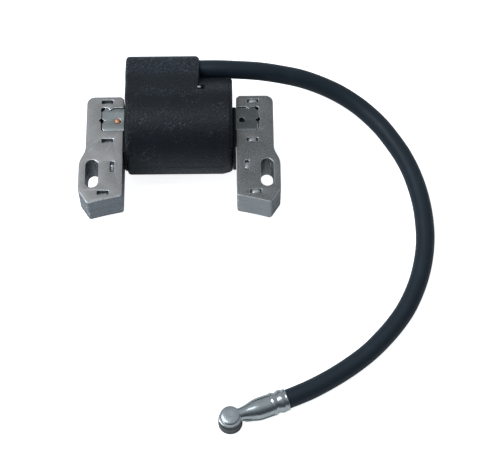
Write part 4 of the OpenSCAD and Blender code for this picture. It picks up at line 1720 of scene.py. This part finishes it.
@dataclass
class CoilCase:
    """The moulded case with its lead tower, the resin in its mouth, and the stop pin.

    Args:
        half: half of its length along X.
        lean: how much farther its left end reaches in its middle, behind the bar and at the tower.
        radius: its radius about the bar.
        flat: distance from the bar's middle down to its flat underside.
        bulge: Y, Z and radius of the bulge along its back.
        tower: Y, Z and radius of the lead tower.
        tower_end: where the tower ends along X.
        shelf: distance from the bar's middle down to the tower's underside.
        end_round: radius of the case's end edges.
        tower_round: radius of the tower's end edge.
        belly: direction, width and height of the front's slight belly, the first two in radians.
        corner: how much the belly is drawn in again at the right end.
        notch: Y, Z and radius of the recess for the stop pin.
        notch_x: where the recess starts and ends along X.
        notch_depth: its depth as a share of its radius.
        pin_r: radius of the stop pin.
        mouth: half length, half width and depth of the filling mouth.
    """

    half: float = 21.3
    lean: tuple[float, float, float] = (0.3, 0.42, 0.3)
    radius: float = 18.5
    flat: float = 17.6
    bulge: tuple[float, float, float] = (15.0, 4.0, 5.5)
    tower: tuple[float, float, float] = (24.8, 5.5, 5.55)
    tower_end: float = 7.8
    shelf: float = 5.0
    end_round: float = 1.4
    tower_round: float = 1.7
    belly: tuple[float, float, float] = (-2.67, 0.5, 0.4)
    corner: float = 0.9
    notch: tuple[float, float, float] = (10.2, 15.1, 1.9)
    notch_x: tuple[float, float] = (7.5, 10.1)
    notch_depth: float = 1.7
    pin_r: float = 0.55
    mouth: tuple[float, float, float] = (17.0, 4.5, 0.5)

    def reach(self, turn: Array, lobe: tuple[float, float, float]) -> Array:
        """How far the round body with one lobe reaches in each direction from the bar's middle.

        The outline is the hull of two circles, which is the union of the circles between them. For a
        direction d, the circle at share t of the way to the lobe's middle c has radius r_t and
        reaches t (c . d) + sqrt(r_t^2 - t^2 (c x d)^2). The farthest is kept.

        Args:
            turn: directions as angles in the Y-Z plane.
            lobe: Y, Z and radius of the second circle.

        Returns:
            The distance in each direction.
        """
        t = np.linspace(0, 1, 240)[None]
        along = lobe[0] * np.cos(turn)[:, None] + lobe[1] * np.sin(turn)[:, None]
        across = lobe[0] * np.sin(turn)[:, None] - lobe[1] * np.cos(turn)[:, None]
        r = self.radius + t * (lobe[2] - self.radius)
        inside = r**2 - (t * across) ** 2
        return np.where(inside > 0, t * along + np.sqrt(np.clip(inside, 0, None)), 0).max(1)

    def directions(self) -> Array:
        """Angles round the case, closer together at the notch and at the sides of the mouth."""
        notch = math.degrees(math.atan2(self.notch[1], self.notch[0]))
        side = math.degrees(math.atan2(self.mouth[1], self.flat - 0.25))
        chord = math.degrees(math.acos(self.flat / self.radius))
        beside = np.array([-side - 0.4, -side + 0.4, side - 0.4, side + 0.4, -chord, chord]) - 90
        spots = [np.arange(-180, 180, 2.0), np.arange(notch - 6, notch + 6, 0.45), np.arange(-60, 75, 1.0)]
        return np.radians(np.unique(np.round(np.concatenate([*spots, beside]), 3)))

    def outlines(self, turn: Array) -> tuple[Array, Array]:
        """The case's outline beyond the tower and along it.

        Args:
            turn: the directions.

        Returns:
            The distance in each direction, without and with the tower.
        """
        below = np.sin(turn) < -1e-6
        fall = np.maximum(-np.sin(turn), 1e-6)
        middle, width, high = self.belly
        body = self.reach(turn, self.bulge) + high * bell(turn, middle, width)
        body = np.minimum(body, np.where(below, self.flat / fall, 1e3))
        tower = np.minimum(self.reach(turn, self.tower), np.where(below, self.shelf / fall, 1e3))
        return body, np.where(np.cos(turn) < -0.25, body, np.maximum(tower, body))

    def rings(self, body: Array, tower: Array) -> list[tuple[float, Array]]:
        """The case's rings from its left end to its right end.

        The end rings are drawn in along a quarter circle. At the tower's end the extra height of the
        tower over the body comes down along a quarter circle and then straight to a small fillet.

        Args:
            body: the outline beyond the tower.
            tower: the outline along it.

        Returns:
            Each ring's place along X with its distances.
        """
        rise = tower - body
        bend = np.linspace(0, math.pi / 2, 8)
        drawn = [(self.end_round * (1 - math.cos(b)), self.end_round * (1 - math.sin(b))) for b in bend]
        start = self.tower_end - self.tower_round
        marks = [np.arange(-19.8, start, 1.1), [-17.15, -16.85], np.arange(5.4, start, 0.12)]
        middle = [(x, tower) for x in np.unique(np.concatenate(marks))]
        drop = [
            (
                start + self.tower_round * math.sin(b),
                body + np.maximum(rise - self.tower_round * (1 - math.cos(b)), 0),
            )
            for b in np.linspace(0, math.pi / 2, 14)
        ]
        tip = np.maximum(rise - self.tower_round, 0)
        foot = [
            (self.tower_end, body + tip * 0.6), (self.tower_end, body + tip * 0.25),
            (self.tower_end + 0.05, body + np.minimum(tip, 0.25)),
            (self.tower_end + 0.2, body + np.minimum(tip, 0.06)), (self.tower_end + 0.45, body),
        ]
        marks = [np.arange(8.4, 10.2, 0.12), np.arange(10.2, 20.3, 1.1), [16.85, 17.15]]
        beyond = [(x, body) for x in np.unique(np.concatenate(marks))]
        left = [(-self.half + x, tower - cut) for x, cut in drawn]
        right = [(self.half - x, body - cut) for x, cut in reversed(drawn)]
        return [(-self.half, body * 0), *left, *middle, *drop, *foot, *beyond, *right, (self.half, body * 0)]

    def shell(self, finishes: Finishes) -> None:
        """Builds the case from its rings.

        Each ring gives the distance from the bar's middle in every direction. The belly is drawn in
        at the right end, the notch and the mouth are taken out, and the left end is made to lean.

        Args:
            finishes: the coil's materials.
        """
        turn = self.directions()
        rings = self.rings(*self.outlines(turn))
        x = np.array([r[0] for r in rings])[:, None]
        reach = np.stack([r[1] for r in rings])
        drawn = self.corner * smooth_step((x - 16.8) / 4.5) * bell(turn, self.belly[0], 0.7)
        reach = self.hollowed(x, reach - drawn * (reach > 1), turn)
        back = reach * np.cos(turn)
        middle, behind, at_tower = self.lean
        lean = middle + behind * smooth_step(back / 6) + at_tower * smooth_step((back - 11) / 9)
        x = x - smooth_step((-14 - x) / 7.3) * lean
        grid = np.stack(np.broadcast_arrays(x, CORE_Y + back, CORE_Z + reach * np.sin(turn)), -1)
        make_piece(
            "coil_case_shell", grid_surface(grid), finishes["case"], ("coil_case",),
            weld=True, crease=38,
        )

    def hollowed(self, x: Array, reach: Array, turn: Array) -> Array:
        """Takes the stop pin's recess and the filling mouth out of the case.

        Args:
            x: each ring's place along X, as a column.
            reach: each ring's distance in each direction.
            turn: the directions.

        Returns:
            The distances with both hollows.
        """
        y, z, r = self.notch
        middle = math.hypot(y, z)
        side = middle * (turn - math.atan2(z, y))[None]
        floor = middle - self.notch_depth * np.sqrt(np.clip(r * r - side**2, 0, None))
        here = (np.abs(side) < r) & (x > self.notch_x[0]) & (x < self.notch_x[1])
        reach = np.where(here, np.minimum(reach, floor), reach)
        half, wide, deep = self.mouth
        low = reach * np.sin(turn) < -self.flat + 0.01
        inside = low & (np.abs(x) < half) & (np.abs(reach * np.cos(turn)) < wide)
        return np.where(inside, (self.flat - deep) / np.maximum(-np.sin(turn), 0.5)[None], reach)

    def resin(self, finishes: Finishes) -> None:
        """Fills the mouth with resin whose surface climbs a little at the walls.

        The pool is a grid over a rectangle: its height changes by 0.12 mm from the middle to the rim,
        following the eighth power of the distance to it, and a faint wave lies on it.

        Args:
            finishes: the coil's materials.
        """
        half, wide, deep = self.mouth
        u, v = np.meshgrid(np.linspace(-1, 1, 61), np.linspace(-1, 1, 25), indexing="ij")
        rim = np.maximum(np.abs(u), np.abs(v)) ** 8
        wave = 0.03 * np.sin(5.0 * u + 1.2) * np.cos(3.1 * v) * (1 - rim)
        skin = np.stack([u * (half - 0.02), CORE_Y + v * (wide - 0.02), deep - 0.06 - 0.12 * rim + wave], -1)
        back = skin.copy()
        back[..., 2] = deep + 1.0
        wall = np.stack([border(skin), border(back)])
        parts = [grid_surface(skin, wrap_columns=False), grid_surface(back, wrap_columns=False), grid_surface(wall)]
        parts[0].quads = parts[0].quads[:, ::-1]
        make_piece("resin_pool", joined(parts), finishes["resin"], ("potting_compound",), weld=True)

    def stop_pin(self, finishes: Finishes) -> None:
        """Turns the stop pin, with a rounded tip.

        Args:
            finishes: the coil's materials.
        """
        start, r = self.tower_end - 4.6, self.pin_r
        tip = arc((0.0, self.tower_end + 0.45), r, 0, 90, 8)
        grid = along_x(lathe(np.concatenate([[[0, start], [r, start]], tip]), 32))
        surface = grid_surface(grid).moved(frame_at(0, CORE_Y + self.notch[0], CORE_Z + self.notch[1]))
        make_piece("stop_pin_piece", surface, finishes["tin"], ("stop_pin",), weld=True, crease=60)

    def build(self, finishes: Finishes) -> None:
        """Builds the coil body."""
        self.shell(finishes)
        self.resin(finishes)
        self.stop_pin(finishes)


@dataclass
class EndCheek:
    """A spacer between the case and a leg.

    It is a round disc, flat at its back, top and bottom, with a window for the bar.

    Args:
        side: which end it is at.
        start: where it starts along X.
        thick: its thickness.
        radius: its radius.
        back: how far it reaches away from the flywheel.
        low: its lowest point.
        high: its highest point.
        window: half the width and half the height of its window.
    """

    side: Side
    start: float = 21.35
    thick: float = 1.3
    radius: float = 17.3
    back: float = 5.75
    low: float = -14.0
    high: float = 8.0
    window: tuple[float, float] = (5.25, 7.2)

    def build(self, finishes: Finishes) -> None:
        """Builds the cheek as a slab with rounded edges that stands square to X.

        Args:
            finishes: the coil's materials.
        """
        top = math.degrees(math.asin(self.high / self.radius))
        foot = math.degrees(math.asin(self.low / self.radius))
        edge = arc((0, 0), self.radius, 180 - top, 180 - foot, 40)
        outer = np.concatenate([edge, [(self.back, self.low), (self.back, self.high)]])
        radii = np.zeros(len(outer))
        radii[[0, 39, 40, 41]] = [0.8, 0.8, 0.8, 2.0]
        corners = np.array([(-1, -1), (-1, 1), (1, 1), (1, -1)]) * self.window
        hole = filleted(corners, np.full(4, 0.8), 4)
        slab = Slab(self.start, self.start + self.thick, 0.2, 0.3, 5).surface(filleted(outer, radii, 6), [hole])
        points = along_x(slab.points) * [self.side.value, 1, 1] + [0, CORE_Y, CORE_Z]
        name = self.side.name.lower()
        surface = Surface(points, slab.quads, slab.tris, slab.marks)
        make_piece(f"{name}_cheek", surface, finishes["spool"], (f"{name}_end_cheek",))


INNER_PARTS: dict[str, str] = {
    "ground_wire": "copper", "primary_bobbin": "spool", "primary_winding": "wire", "primary_insulation": "film",
    "secondary_bobbin": "spool", "secondary_winding": "wire", "circuit_board": "board",
    "power_transistor": "spool", "trigger_transistor": "spool", "bias_resistors": "tan", "clamp_diode": "tan",
    "primary_wire": "copper", "stop_wire": "tin", "hv_link_wire": "copper", "hv_contact": "brass",
    "lead_conductor": "tin", "terminal_contact": "brass", "terminal_clip": "tin",
}


def dress_inner_parts(nodes: dict[str, bpy.types.Object], finishes: Finishes) -> None:
    """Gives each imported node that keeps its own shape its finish.

    Args:
        nodes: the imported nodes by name.
        finishes: the coil's materials.
    """
    for name, finish in INNER_PARTS.items():
        nodes[name].data.materials.clear()
        nodes[name].data.materials.append(finishes[finish])
        log.info("%s: dressed", name)


def main() -> None:
    """Builds the studio, then the lead, the core, the body and the inner parts round the frame."""
    logging.basicConfig(level=logging.INFO, format="%(name)s: %(message)s")
    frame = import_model()
    Studio().build()
    finishes = build_finishes(Effects())
    lead, terminal = SparkLead(), PlugTerminal()
    jacket = lead.build(finishes)
    lead.declare(jacket, terminal.build(finishes))
    for side in Side:
        Leg(side).build(finishes)
        EndCheek(side).build(finishes)
    CoreBar().build(finishes)
    CoilCase().build(finishes)
    dress_inner_parts(frame["nodes"], finishes)


if __name__ == "__main__":
    main()
